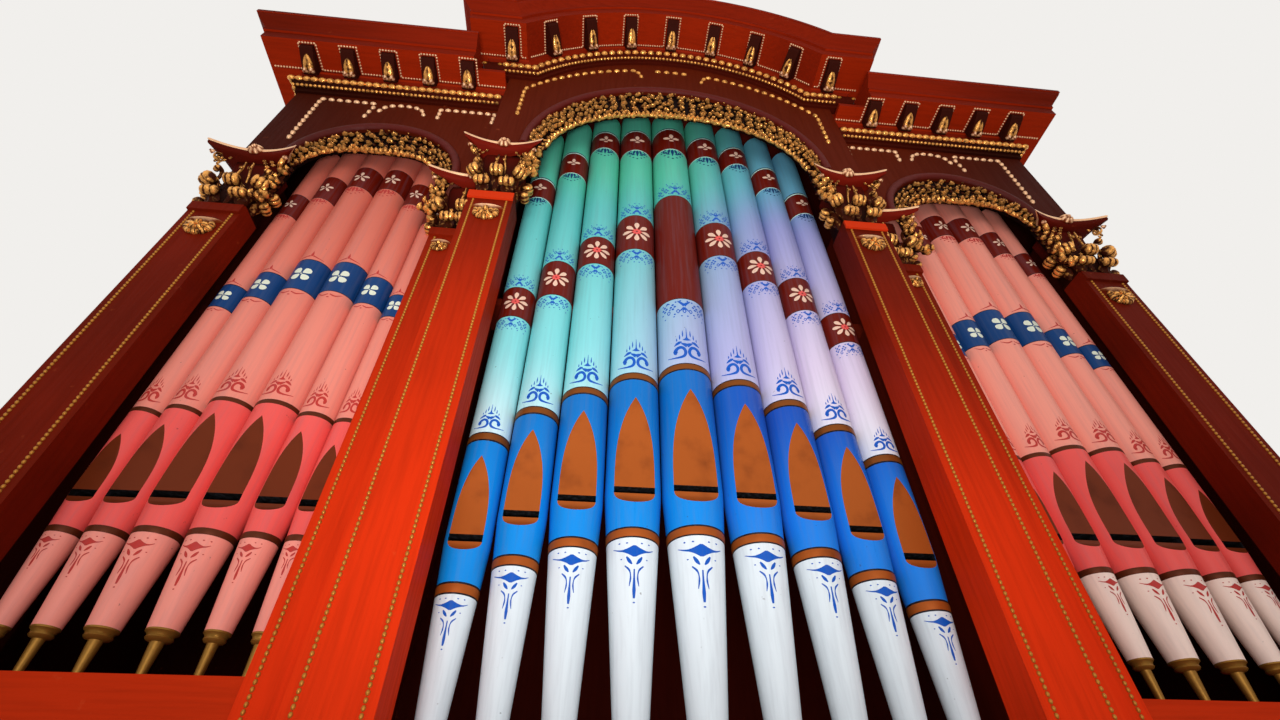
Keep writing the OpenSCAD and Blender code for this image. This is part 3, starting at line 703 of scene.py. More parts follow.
def form_pipe(mould, pipe, zones, lip_paint, dark_paint):
    """Adds one pipe. Each zone is its bottom, its top and its paint number."""
    def paint_at(z):
        return next((paint for low, high, paint in zones if low <= z < high), 0)

    rows = heights(pipe, zones)
    body = []
    for z in rows:
        r = pipe.radius(z)
        start = math.asin(min(1.0, leaf_half(pipe, z) / r))
        body.append([pipe.around(t, r, z) for t in np.linspace(start, 2 * math.pi - start, COLUMNS + 1)])
    mould.grid(body, [paint_at((a + b) / 2) for a, b in zip(rows, rows[1:])])

    low, high = pipe.slot
    tip, chin = high + pipe.dia * LEAF_RISE, low - pipe.dia * LOWER_LIP
    for bottom, top in ((high, tip), (chin, low)):
        patch = []
        for z in [z for z in rows if bottom - SEAM < z < top + SEAM]:
            r, half = pipe.radius(z), leaf_half(pipe, z)
            y = pipe.y - math.sqrt(max(0.0, r * r - half * half))
            patch.append([(pipe.x + half * s, y, z) for s in np.linspace(-1, 1, LEAF_COLUMNS + 1)])
        mould.grid(patch, lip_paint)

    half = leaf_half(pipe, low)
    front_low, front_high = [pipe.y - math.sqrt(pipe.radius(z) ** 2 - half * half) for z in pipe.slot]
    back = front_high + MOUTH_DEPTH
    xs = np.linspace(-half, half, LEAF_COLUMNS + 1) + pipe.x
    pocket = [[(x, front_high, high) for x in xs], [(x, back, high) for x in xs],
              [(x, back, low) for x in xs], [(x, front_low, low) for x in xs]]
    mould.grid(pocket, dark_paint)
    for k in (0, -1):
        mould.add([row[k] for row in pocket], [(0, 1, 2, 3)], dark_paint)

    inner, floor_z = pipe.dia / 2 - METAL_T, pipe.top - 0.1
    circle = np.linspace(0, 2 * math.pi, COLUMNS + 1)
    rim = ((pipe.dia / 2, pipe.top), (inner, pipe.top), (inner, floor_z), (0, floor_z))
    mould.grid([[pipe.around(t, r, z) for t in circle] for r, z in rim], [0, dark_paint, dark_paint])


print("half a leaf", round(leaf_half(middle_pipes[4], middle_pipes[4].mouth + 0.21), 4), "metres wide")

# %% [markdown]
# Hoops and toes are turned shapes about a pipe's own axis.


# %% Turn the hoops and toes
def turned(mould, pipe, profile, paint, columns=40):
    """Adds a closed ring turned about the pipe's axis from (radius, height) points."""
    turns = np.linspace(0, 2 * math.pi, columns, endpoint=False)
    mould.grid([[pipe.around(t, r, z) for t in turns] for r, z in profile], paint, ring=True)


def hoop(mould, pipe, low, high, rise, paint, columns=60):
    """A thin band laid round the metal, with rounded edges."""
    edge = (high - low) * 0.18
    below, above = pipe.radius(low), pipe.radius(high)
    profile = [(below - 0.002, low), (below + rise * 0.5, low), (below + rise, low + edge),
               (above + rise, high - edge), (above + rise * 0.5, high), (above - 0.002, high),
               (below - 0.002, low)]
    turned(mould, pipe, profile, paint, columns)


def toe(mould, pipe, paint):
    """The brass toe: a small cone, and a ferrule with two rolls."""
    z, r = pipe.ferrule_z, pipe.ferrule_r
    ferrule = ((0.44, -0.026), (0.76, -0.022), (0.86, -0.017), (0.80, -0.012), (0.88, -0.005),
               (1.02, -0.001), (1.02, 0.003), (0.98, 0.006), (0, 0.006))
    profile = [(0, pipe.toe), (0.010, pipe.toe)] + [(r * share, z + up) for share, up in ferrule]
    turned(mould, pipe, profile, paint)


print("hoops and toes ready")

# %% [markdown]
# ### Painting the flats
# Each middle pipe has a blue zone round its mouth between two copper hoops, a maroon band
# with a flower half way up and another near the top. The bands step up towards the middle.
# Each band's edges are slopes: how far they rise above the eye for each metre before it.

# %% Paint the middle flat
UPPER_HOOP = 2.42
RING_DROP = 0.152
HOOP_H = 0.026
LINE_H = 0.004
HOOP_RISE, LINE_RISE = 0.0016, 0.0009


def seen_z(pipe, slope):
    """Height of a mark that is seen at that slope above the eye's level."""
    return EYE_Z + slope * (SIGHT + pipe.y - PIPE_Y - pipe.dia / 2)


FLOWER_BANDS = [(1.04, 1.15), (1.13, 1.27), (1.27, 1.395), (1.35, 1.52), (1.15, 1.65), (1.35, 1.515),
                (1.25, 1.385), (1.14, 1.275), (1.03, 1.14)]
UPPER_BANDS = [(1.575, 1.68), (1.735, 1.86), (1.92, 2.03), (1.925, 2.06), (1.955, 2.10), (1.92, 2.05),
               (1.89, 2.00), (1.75, 1.87), (1.61, 1.72)]
BLUE, MAROON, BLACK, LIP, DARK, HOOP, TOE, PALE_LINE, TEAL_LINE, UPPER_HOOP_PAINT = range(1, 11)
middle_paints = [middle_white, zone_blue, maroon, line_black, copper_paint, mouth_dark, copper_paint,
                 brass, line_pale, line_teal, upper_hoop_paint]


def outlined(low, high, paint, line):
    """A band of paint with a thin line along both edges."""
    return [(low, low + LINE_H, line), (low + LINE_H, high - LINE_H, paint), (high - LINE_H, high, line)]


middle_marks = []
middle_mould = Mould()
for pipe, flower_band, upper_band in zip(middle_pipes, FLOWER_BANDS, UPPER_BANDS):
    foot_ring = pipe.mouth - RING_DROP
    upper_ring = pipe.mouth + UPPER_HOOP * pipe.dia
    flower = [seen_z(pipe, slope) for slope in flower_band]
    upper = [seen_z(pipe, slope) for slope in upper_band]
    zones = [(foot_ring, upper_ring, BLUE)]
    zones += outlined(*flower, MAROON, BLACK) + outlined(*upper, MAROON, BLACK)
    zones += [(upper[0] - 0.006, upper[0], PALE_LINE), (upper[1], upper[1] + 0.010, PALE_LINE)]
    zones += [(upper[1] + 0.010, upper[1] + 0.019, TEAL_LINE)]
    form_pipe(middle_mould, pipe, zones, LIP, DARK)
    for ring, over, under, paint in ((foot_ring - HOOP_H, 0.006, 0.005, HOOP),
                                     (upper_ring, 0.005, 0.007, UPPER_HOOP_PAINT)):
        hoop(middle_mould, pipe, ring, ring + HOOP_H, HOOP_RISE, paint)
        hoop(middle_mould, pipe, ring + HOOP_H, ring + HOOP_H + over, LINE_RISE, BLACK)
        hoop(middle_mould, pipe, ring - under, ring, LINE_RISE, BLACK)
    toe(middle_mould, pipe, TOE)
    middle_marks.append((pipe, foot_ring - HOOP_H, upper_ring + HOOP_H, flower, upper))
middle_mould.piece("middle_flat", middle_paints, "centre_pipe_paint", ["centre_flat_pipes"])

# %% [markdown]
# The side flats follow the same plan in pink: brown leaves, brown hoops, a blue band with
# a quatrefoil and a maroon band with a small flower.

# %% Paint the side flats
SIDE_HOOP_Z = [0.700, 0.711, 0.7365, 0.7365, 0.711, 0.700]
SIDE_BLUE = [(1.005, 1.085), (1.045, 1.14), (1.085, 1.20), (1.085, 1.20), (1.05, 1.15), (1.01, 1.09)]
SIDE_MAROON = [(1.385, 1.485), (1.475, 1.59), (1.55, 1.66), (1.55, 1.66), (1.48, 1.59), (1.395, 1.49)]
SIDE_RING_DROP = 0.112
side_paints = [side_pink, zone_red, maroon, line_black, brown_paint, mouth_dark, hoop_paint, brass,
               band_blue]
SIDE_BLUE_PAINT = 8
side_marks = {"left": [], "right": []}
for flat, pipes in side_pipes.items():
    side_mould = Mould()
    for pipe, hoop_at, blue_at, maroon_at in zip(pipes, SIDE_HOOP_Z, SIDE_BLUE, SIDE_MAROON):
        foot_ring = pipe.mouth - SIDE_RING_DROP
        upper_ring = seen_z(pipe, hoop_at)
        blue_band = [seen_z(pipe, slope) for slope in blue_at]
        maroon_band = [seen_z(pipe, slope) for slope in maroon_at]
        zones = [(foot_ring, upper_ring, BLUE)] + outlined(*blue_band, SIDE_BLUE_PAINT, BLACK)
        zones += outlined(*maroon_band, MAROON, BLACK)
        form_pipe(side_mould, pipe, zones, LIP, DARK)
        foot_edge, spray_edge = foot_ring - 0.020, upper_ring + 0.018
        for low, high in ((foot_edge, foot_ring), (upper_ring, spray_edge)):
            hoop(side_mould, pipe, low, high, 0.0014, HOOP, 48)
        toe(side_mould, pipe, TOE)
        side_marks[flat].append((pipe, foot_edge, spray_edge, blue_band, maroon_band))
    side_mould.piece(flat + "_flat", side_paints, "side_pipe_paint", [flat + "_flat_pipes"])

# %% [markdown]
# ## Stencil work
# The ornament on the pipes is paint pressed through cut tin plates, in the same few
# figures on every pipe. Each figure is laid as a thin film that follows the round metal,
# so it keeps crisp edges from close by and needs no picture.


# %% Make the stencil brush
FILM = 0.0006
BOLD = 1.55


def smooth_path(corners, samples):
    """A curve through the corner points, by Catmull-Rom."""
    p = np.asarray(corners, float)
    p = np.vstack([2 * p[0] - p[1], p, 2 * p[-1] - p[-2]])
    at = np.linspace(0, len(p) - 3 - 1e-9, samples)
    i = at.astype(int)
    t = (at - i)[:, None]
    a, b, c, d = p[i], p[i + 1], p[i + 2], p[i + 3]
    return 0.5 * (2 * b + (c - a) * t + (2 * a - 5 * b + 4 * c - d) * t ** 2 + (3 * b - a - 3 * c + d) * t ** 3)


class Stencil:
    """Figures in shares of a pipe's diameter, right and up from a mark on its front."""

    def __init__(self, mould, pipe, z, paint=0, up=1.0, tall=1.0):
        self.mould = mould
        self.pipe = pipe
        self.z = z
        self.paint = paint
        self.up = up
        self.tall = tall

    def _lay(self, rows):
        rows = rows if self.up > 0 else rows[::-1]
        dia, rise = self.pipe.dia, self.pipe.dia * self.up * self.tall
        laid = [[self.pipe.wrap(u * dia, self.z + v * rise, FILM) for u, v in row] for row in rows]
        self.mould.grid(laid, self.paint)

    def stroke(self, corners, widths, samples=9, both=True):
        """A brush stroke with a width that changes along it, and its mirror image."""
        path = smooth_path(corners, samples)
        ahead = np.gradient(path, axis=0)
        ahead /= np.linalg.norm(ahead, axis=1)[:, None]
        across = np.stack([ahead[:, 1], -ahead[:, 0]], 1)
        width = np.interp(np.linspace(0, 1, samples), np.linspace(0, 1, len(widths)), widths) * BOLD
        rows = path[:, None] + (across * width[:, None] / 2)[:, None] * np.array([-1, 0, 1])[None, :, None]
        self._lay(rows)
        if both:
            self._lay((rows * np.array([-1, 1]))[:, ::-1])

    def dot(self, u, v, radius, both=True):
        self.stroke([(u, v - radius), (u, v), (u, v + radius)],
                    [0.2 * radius, 1.7 * radius, 2 * radius, 1.7 * radius, 0.2 * radius], 5, both)

    def petals(self, count, inner, outer, width, start=0.0):
        for k in range(count):
            turn = math.radians(start + 360 * k / count)
            away = np.array([math.sin(turn), math.cos(turn)])
            self.stroke([away * inner, away * (inner + outer) / 2, away * outer],
                        [width * 0.15, width * 0.6, width * 0.95, width, width * 0.35], 6, both=False)


print("brush", round(FILM * 1000, 2), "mm of paint")

# %% [markdown]
# Four figures make all of the larger ornament: a spray over the upper hoops, a border
# beside the flower bands, a tuft under the top bands and a star on each foot.


# %% Cut the stencils
def scroll_spray(brush):
    """Two scrolls under a winged bud with rays, above an upper hoop."""
    brush.stroke([(0.40, 0.13), (0.28, 0.11), (0.17, 0.105), (0.07, 0.13), (0.035, 0.20), (0.065, 0.27),
                  (0.13, 0.295), (0.20, 0.27), (0.235, 0.215), (0.20, 0.185)],
                 [0.006, 0.014, 0.022, 0.034, 0.040, 0.036, 0.034, 0.040, 0.060, 0.040], 26)
    brush.stroke([(0.25, 0.335), (0.17, 0.38), (0.10, 0.40)], [0.008, 0.030, 0.036, 0.012], 7)
    brush.stroke([(0.11, 0.375), (0.045, 0.345), (0.0, 0.325)], [0.012, 0.040, 0.050], 6)
    brush.stroke([(0, 0.425), (0, 0.45), (0, 0.50), (0, 0.68)], [0.02, 0.11, 0.07, 0.02, 0.012, 0.004],
                 10, both=False)
    for u, low, high in ((0.075, 0.50, 0.63), (0.135, 0.45, 0.55), (0.195, 0.42, 0.48)):
        brush.stroke([(u, low), (u, (low + high) / 2), (u, high)], [0.006, 0.018, 0.012, 0.003], 4)


def lattice(brush):
    """A border that thins out away from its band: crossed stems, lozenges of dots and loops."""
    brush.stroke([(0.13, 0.05), (0.055, 0.095), (0.0, 0.135)], [0.012, 0.030, 0.042], 6)
    brush.stroke([(0.12, 0.27), (0.05, 0.215), (0.0, 0.185)], [0.006, 0.018, 0.030], 6)
    for u in (0.235, 0.42):
        for du, dv in ((0.042, 0), (-0.042, 0), (0, 0.042), (0, -0.042)):
            brush.dot(u + du, 0.15 + dv, 0.019)
    for u in (0.0, 0.13, 0.33):
        brush.stroke([(u + 0.035, 0.245), (u, 0.285), (u - 0.035, 0.245), (u, 0.215), (u + 0.035, 0.245)],
                     [0.010, 0.012], 8)
    brush.stroke([(0.30, 0.075), (0.35, 0.055), (0.39, 0.085)], [0.008, 0.022, 0.008], 5)
    for u in (0.06, 0.22, 0.42):
        brush.dot(u, 0.345, 0.012)
    for u, v in ((0.17, 0.06), (0.30, 0.19), (0.46, 0.07), (0.20, 0.30), (0.075, 0.045), (0.48, 0.24)):
        brush.dot(u, v, 0.014)


def tuft(brush):
    """Three hanging buds between two curls, under an arc of dots."""
    for u, v in ((0.0, 0.36), (0.12, 0.31), (0.22, 0.23), (0.31, 0.13)):
        brush.dot(u, v, 0.020)
    brush.stroke([(0.06, 0.21), (0.14, 0.19), (0.20, 0.13)], [0.008, 0.030, 0.008], 6)
    brush.stroke([(0.0, 0.04), (0.0, 0.12), (0.0, 0.27)], [0.02, 0.06, 0.05, 0.008], 6, both=False)
    brush.stroke([(0.07, 0.04), (0.10, 0.10), (0.115, 0.20)], [0.02, 0.05, 0.045, 0.006], 6)
    brush.stroke([(0.17, 0.03), (0.23, 0.05), (0.25, 0.11), (0.20, 0.14), (0.165, 0.11)],
                 [0.014, 0.030, 0.034, 0.028, 0.04], 9)
    brush.dot(0.30, 0.06, 0.016)


def foot_star(brush, size=1.0):
    """A star with long arms over falling lines, on a pipe's foot."""
    brush.stroke([(-0.37 * size, -0.19), (-0.22 * size, -0.235), (0, -0.245), (0.22 * size, -0.235),
                  (0.34 * size, -0.19)],
                 [0.006, 0.010, 0.014, 0.022, 0.065, 0.135, 0.065, 0.022, 0.014, 0.010, 0.006], 22, both=False)
    for u in (0.12, 0.25):
        brush.dot(u, -0.115, 0.012)
    brush.dot(0.21, -0.37, 0.010)
    brush.stroke([(0.125, -0.335), (0.08, -0.40), (0.035, -0.455)], [0.014, 0.034, 0.034, 0.010], 6)
    brush.stroke([(0.15, -0.475), (0.075, -0.55), (0.055, -0.66), (0.075, -0.79)],
                 [0.012, 0.020, 0.010, 0.018, 0.006], 12)
    brush.stroke([(0, -0.53), (0, -0.75), (0, -0.97)], [0.014, 0.016, 0.026, 0.036, 0.020], 8, both=False)
    brush.dot(0, -1.03, 0.012, both=False)


print("stencils cut: spray, lattice, tuft, star")

# %% [markdown]
# The figures are laid pipe by pipe, from the heights that were kept while painting. All
# films of one flat make one piece.

# %% Stencil the flats
FILMS = [stencil_blue, petal_cream, zone_red, stencil_red, petal_white, stencil_navy]
BLUE_INK, CREAM, CORAL, RED_INK, PALE, NAVY_INK = range(6)
films = Mould()
for pipe, foot_edge, spray_edge, flower, upper in middle_marks:
    tall = 1.0 if abs(pipe.x) < 0.6 else 0.9
    scroll_spray(Stencil(films, pipe, spray_edge + 0.006, BLUE_INK, tall=1.36 * tall))
    lattice(Stencil(films, pipe, flower[0], BLUE_INK, up=-1, tall=1.5))
    lattice(Stencil(films, pipe, flower[1], BLUE_INK, tall=1.6))
    tuft(Stencil(films, pipe, upper[0], NAVY_INK, up=-1, tall=1.5))
    foot_star(Stencil(films, pipe, foot_edge, BLUE_INK))
    if abs(pipe.x) > 0.01:
        bloom = Stencil(films, pipe, sum(flower) / 2, CREAM)
        bloom.petals(8, 0.12, 0.38, 0.088)
        Stencil(films, pipe, sum(flower) / 2, CORAL).petals(8, 0.02, 0.130, 0.040)
    bloom = Stencil(films, pipe, sum(upper) / 2, CREAM)
    bloom.stroke([(0, 0.03), (0, 0.15), (0, 0.27)], [0.02, 0.07, 0.085, 0.03], 8, both=False)
    bloom.stroke([(0.035, -0.01), (0.13, 0.04), (0.23, 0.10)], [0.02, 0.07, 0.085, 0.03], 8)
    bloom.dot(0, -0.10, 0.045, both=False)
films.piece("middle_stencils", FILMS, "centre_pipe_paint", weld=False, outward=False)

for flat, marks in side_marks.items():
    films = Mould()
    for pipe, foot_edge, spray_edge, blue_band, maroon_band in marks:
        tall = 0.156 / pipe.dia
        scroll_spray(Stencil(films, pipe, spray_edge + 0.008, RED_INK, tall=1.25 * tall))
        foot_star(Stencil(films, pipe, foot_edge, RED_INK), size=0.8)
        quatrefoil = Stencil(films, pipe, sum(blue_band) / 2, PALE)
        quatrefoil.petals(4, 0.05, 0.29, 0.15, start=45)
        quatrefoil.dot(0, 0, 0.02, both=False)
        bloom = Stencil(films, pipe, sum(maroon_band) / 2, CREAM)
        bloom.petals(5, 0.05, 0.27, 0.075)
        bloom.dot(0, 0, 0.022, both=False)
        sprig = Stencil(films, pipe, blue_band[1], RED_INK)
        sprig.stroke([(0.36, 0.07), (0.18, 0.10), (0.04, 0.16)], [0.006, 0.022, 0.03], 7)
        sprig.stroke([(0, 0.14), (0, 0.22), (0, 0.36)], [0.03, 0.05, 0.004], 5, both=False)
        sprig = Stencil(films, pipe, blue_band[0], RED_INK, up=-1)
        sprig.stroke([(0.34, 0.06), (0.17, 0.17), (0.02, 0.12)], [0.006, 0.028, 0.02], 8)
        sprig.dot(0.0, 0.24, 0.022, both=False)
        tuft(Stencil(films, pipe, maroon_band[0], RED_INK, up=-1, tall=1.2))
    films.piece(flat + "_stencils", FILMS, "side_pipe_paint", weld=False, outward=False)

# %% [markdown]
# ## Carved leaves
# A carver's acanthus leaf climbs the wall, leans out and curls over at its tip; its lobes
# are parted by deep eyes. One function shapes it as a closed shell, and stores in every
# point how deep it lies, so that the leaf gold darkens there as painted shade.


# %% Carve a leaf
def acanthus(width, height, curl, thick=0.006, lobes=4, rows=14, columns=8, roll=215, gloom=0.4):
    """Closed rings of points (across, out, up) and each one's depth; gloom paints shade on the stem."""
    s = np.linspace(0, 1, rows)[:, None]
    t = np.linspace(-1, 1, columns + 1)[None, :]
    climb = np.minimum(s / 0.5, 1.0)
    turn = np.clip((s - 0.5) / 0.5, 0, 1) * math.radians(roll)
    out = curl * 0.35 * climb ** 2 + curl / 2 * (1 - np.cos(turn))
    up = (height - curl / 2) * climb + curl / 2 * np.sin(turn)
    gap = np.abs(np.sin(lobes * math.pi * (s + 0.02)))
    half = width / 2 * (0.62 + 0.38 * np.sin(math.pi / 2 * np.minimum(s / 0.6, 1))) * (0.80 + 0.20 * gap)
    half = half * np.sqrt(np.clip(1.01 - s ** 10, 0, 1))
    step_out, step_up = np.gradient(out[:, 0])[:, None], np.gradient(up[:, 0])[:, None]
    size = np.hypot(step_out, step_up)
    away_out, away_up = step_up / size, -step_out / size
    bend = np.clip((s - 0.42) / 0.2, 0, 1)
    rib = (0.06 * width * np.cos(1.5 * math.pi * t) + 0.05 * width * gap * (1 - np.abs(t))) * (1 - 2 * bend)
    rib = rib - 0.16 * width * t ** 2 * (1 - 2.6 * bend)
    # painted shade: darker in the eyes, towards the edges and on the back, and on the stem by gloom
    depth = np.clip(0.65 * (1 - gap) * np.abs(t) ** 0.5 + 0.55 * (0.5 - 0.5 * np.cos(3 * math.pi * t)), 0, 1)
    stemmed = np.clip((0.66 - s) / 0.16, 0, 1)
    veins = np.clip(0.8 * (1 - gap) * np.abs(t) ** 0.5 + 0.5 * np.abs(t) ** 6, 0, 1)
    behind = np.clip(veins + 0.8 * stemmed, 0, 1)
    depth = np.clip(depth + gloom * stemmed, 0, 1)
    front = np.stack(np.broadcast_arrays(half * t, out + away_out * rib, up + away_up * rib), 2)
    back = front - np.stack(np.broadcast_arrays(0 * t, away_out * thick, away_up * thick), 2)
    rings = np.concatenate([front, back[:, ::-1]], 1)
    depths = np.concatenate([depth, behind[:, ::-1]], 1)
    return rings, depths


def carve(mould, shape, origin, up=(0, 0, 1), out=(0, -1, 0), paint=0):
    """Stands rings of (across, out, up) points at an origin and fills both of their ends."""
    rings, depths = shape
    up, out = Vector(up).normalized(), Vector(out).normalized()
    rings = rings @ np.array([up.cross(out), out, up]) + np.array(origin)
    mould.grid(rings, paint, depths, ring=True)
    n = rings.shape[1]
    # painted shade: the end faces count as fully deep
    for k in (0, -1):
        mould.add(rings[k], [(i, i + 1, n - 2 - i, n - 1 - i) for i in range(n // 2 - 1)], paint, 1.0)


sample_leaf = acanthus(0.1, 0.2, 0.06)
print("a leaf has", sample_leaf[0].shape[0] * sample_leaf[0].shape[1], "points")

# %% [markdown]
# Scrolls and small flowers fill the corners between the leaves.


# %% Shape scrolls and flowers
def volute(radius, width, turns=1.7, steps=34):
    """A spiral roll, its axis across; closed rings of points and depths."""
    a = np.linspace(0, 1, steps)[:, None]
    away = radius * (1 - 0.80 * a)
    bar = radius * (0.19 - 0.09 * a)
    around = np.linspace(0, 2 * math.pi, 8, endpoint=False)[None, :]
    reach = away + bar * np.cos(around)
    angle = a * turns * 2 * math.pi
    wide = width * (0.5 + 0.10 * a)
    rings = np.stack([wide * np.sin(around), reach * np.sin(angle), reach * np.cos(angle)], 2)
    # painted shade on the inner side of the spiral bar
    return rings, np.broadcast_to(0.5 - 0.5 * np.cos(around), (steps, 8))


def rosette(radius, height, petals=8, rows=6):
    """A round flower boss facing out, with a button in the middle."""
    s = np.linspace(1, 0.02, rows)[:, None]
    turn = np.linspace(0, 2 * math.pi, petals * 5, endpoint=False)[None, :]
    wave = 0.5 + 0.5 * np.cos(petals * turn)
    reach = radius * s * (1 - 0.16 * (1 - wave) * s)
    swell = height * (0.25 + 0.6 * np.sin(math.pi * s) * (0.55 + 0.45 * wave) + 0.55 * (s < 0.3))
    rings = np.stack([reach * np.sin(turn), swell + 0 * turn, reach * np.cos(turn)], 2)
    base = rings[:1] * np.array([1, 0, 1])
    # painted shade between the petals and in a ring round the button
    depth = np.clip((1 - wave) * s + 0.8 * ((s > 0.25) & (s < 0.45)), 0, 1)
    return np.concatenate([base, rings]), np.concatenate([np.ones((1, turn.size)), depth])


print("scroll and flower ready")

# %% [markdown]
# From below a carved leaf is mostly its rolled tip, so tips, tongues, stalks and the small
# awning of a drop have plump forms of their own.


# %% Shape tips, tongues and stalks
def bulb(width, deep_out, tall, folds=3, around=10, away=0.0, lift=0.0):
    """The rolled tip of a leaf: a barrel lying across, with folds; closed rings and depths."""
    t = np.linspace(-1, 1, folds * 4 + 1)[:, None]
    a = np.linspace(0, 2 * math.pi, around, endpoint=False)[None, :]
    ridge = np.abs(np.cos(folds * math.pi * t / 2)) ** 0.7
    reach = np.clip(1.0004 - t ** 4, 0, 1) ** 0.5 * (0.84 + 0.16 * ridge)
    out, up = away + deep_out / 2 * reach * np.cos(a), lift + tall / 2 * reach * np.sin(a)
    ends = np.clip(np.abs(t) - 0.85, 0, 1) * 4
    # painted shade in the folds, at the ends and on the back half
    depth = np.clip(1.1 * (1 - ridge) ** 1.5 + ends + np.clip(-np.cos(a), 0, 1), 0, 1)
    return np.stack(np.broadcast_arrays(t * width / 2, out, up), 2), depth


def pod(width, length, high, stations=11, around=12):
    """A plump tongue with a groove along it; closed rings and depths."""
    s = np.linspace(0.01, 0.995, stations)[:, None]
    a = np.linspace(0, 2 * math.pi, around, endpoint=False)[None, :]
    half = width / 2 * np.sin(math.pi * s ** 0.8) ** 0.55
    groove = 1 - 0.35 * np.exp(-(np.cos(a) / 0.3) ** 2) * (np.sin(a) > 0)
    out = high * half / (width / 2) * np.sin(a) * groove
    rings = np.stack(np.broadcast_arrays(half * np.cos(a), out, length * s), 2)
    # painted shade in the groove and on the back of the tongue
    return rings, np.clip((1 - groove) * 2.2 + np.clip(-np.sin(a), 0, 1) + 0 * s, 0, 1)


def stem(path, radii, sides=6):
    """A round stalk along (across, out, up) points; closed rings and depths."""
    path = np.asarray(path, float)
    ahead = np.gradient(path, axis=0)
    ahead /= np.linalg.norm(ahead, axis=1)[:, None]
    aside = np.cross(ahead, [0, 1, 0.01])
    aside /= np.linalg.norm(aside, axis=1)[:, None]
    over = np.cross(ahead, aside)
    turn = np.linspace(0, 2 * math.pi, sides, endpoint=False)
    wide = np.asarray(radii, float)[:, None, None]
    turned_to = aside[:, None] * np.cos(turn)[None, :, None] + over[:, None] * np.sin(turn)[None, :, None]
    return path[:, None] + wide * turned_to, np.full((len(path), sides), 0.1)


def canopy(width, out, high, stations=13):
    """A pointed crescent that stands out from the board like a small awning."""
    t = np.sin(np.linspace(-1, 1, stations) * math.pi / 2)[:, None]
    swell = np.sqrt(np.clip(1.0004 - t ** 2, 0, 1))
    lip = np.array([[0, 0.55, 1.0, 0.96, 0.5, 0], [-0.9, -0.75, -0.15, 0.25, 0.75, 1.0]])
    up = lip[1] * high / 2 * (0.15 + 0.85 * swell)
    shaded = np.array([0.9, 0.5, 0.0, 0.0, 0.0, 0.3]) + np.clip(np.abs(t) - 0.45, 0, 1) * 1.6
    return np.stack(np.broadcast_arrays(t * width / 2, lip[0] * out * swell, up), 2), np.clip(shaded, 0, 1)


print("a tip has", bulb(0.03, 0.03, 0.03)[0][..., 0].size, "points")

# %% [markdown]
# ### The slab of a capital
# The abacus is a thin slab whose sides are hollow in plan, so that its corners reach out
# over the leaves. Its face is red and only its top edge is gilded, in a pale gold that is a
# painted highlight. A pilaster that is half hidden has half a slab, cut straight where it
# meets its neighbour.

# %% Shape the slab
SLAB_H = 0.046
OVERHANG = 0.095
HOLLOW = 0.042
SLAB_PROFILE = ((0.034, 0.0), (0.012, 0.006), (0.006, 0.016), (0.005, 0.030), (-0.002, 0.034),
                (-0.003, 0.041), (0.003, SLAB_H))


def slab(mould, mid, wide, face, z, backs, ends, red, gold):
    """The slab between two ends, given as shares of its half width from the middle."""
    front = face + OVERHANG
    plan = []
    for k in np.linspace(ends[0], ends[1], 17):
        plan.append((mid + (wide / 2 + OVERHANG) * k, front - HOLLOW * (1 - k * k)))
    for s, back in ((1, backs[1]), (-1, backs[0])):
        steps = ((0.055, (back + front) / 2), (0.030, back), (-0.012, back))
        side = [(mid + s * (wide / 2 + aside), depth) for aside, depth in steps]
        if s not in ends:
            side = [(mid, face - 0.02)]
        plan = plan + side if s > 0 else side[::-1] + plan
    plan = np.array(plan)
    away = plan - np.array([mid + wide * 0.25 * (ends[0] + ends[1]), face - 0.02])
    away /= np.linalg.norm(away, axis=1)[:, None]
    rows = [[(x, forward(d), z + up) for x, d in plan - away * inset] for inset, up in SLAB_PROFILE]
    mould.closed(rows, [red, red, red, gold, gold, gold], end_paint=red, end_deep=0.0)


print("slab", SLAB_H, "metres high")

# %% [markdown]
# ### The leaves of a capital
# Two low leaves and three tall ones curl out in front of a bell kept dark as painted shade,
# thin stalks climb between them, and small scrolls fill the corners under the slab. Seen
# from below only the curls catch the light, so the stems are kept dark.


# %% Carve the capitals
BELL_SHARES = (0, 0.06, 0.07, 0.5, 0.8, 0.93, 1.0)
# painted shade: the bell is darkest low down and lightest under the slab
BELL_DEPTHS = (0.9, 0.9, 1.0, 0.9, 0.35, 0.1, 0.1)
BELL_CORNER = 0.02


def bell(mould, left, right, back, face, z, height, paint):
    """The body behind the leaves, a little wider at its top."""
    rows = []
    for share in BELL_SHARES:
        grow = 0.030 * max(0, share - 0.5) ** 1.5 - (0.012 if share >= 0.07 else 0)
        if 0 < share < 0.07:
            grow = -0.006
        a, b, front = left - grow, right + grow, face + grow
        plan = ((a, back), (a, front - BELL_CORNER), (a + BELL_CORNER, front),
                (b - BELL_CORNER, front), (b, front - BELL_CORNER), (b, back))
        rows.append([(x, forward(d), z + share * height) for x, d in plan])
    mould.closed(rows, paint, np.repeat(BELL_DEPTHS, 6))


def curled(mould, x, depth, z, width, tall, curl, out=(0, -1, 0), folds=3):
    """One leaf of a capital: a stem kept dark as painted shade and the bright roll at its tip."""
    place = (x, forward(depth), z)
    carve(mould, acanthus(width * 0.82, tall, curl * 0.8, roll=100, rows=9, gloom=1.0), place, out=out)
    carve(mould, bulb(width, curl, curl, folds, away=curl * 0.80, lift=tall - curl / 2), place, out=out)


BUDS = ((0.0, 0.0, 0.011), (0.020, 0.020, 0.012), (-0.018, 0.028, 0.010), (0.004, 0.046, 0.010),
        (-0.034, 0.052, 0.009))


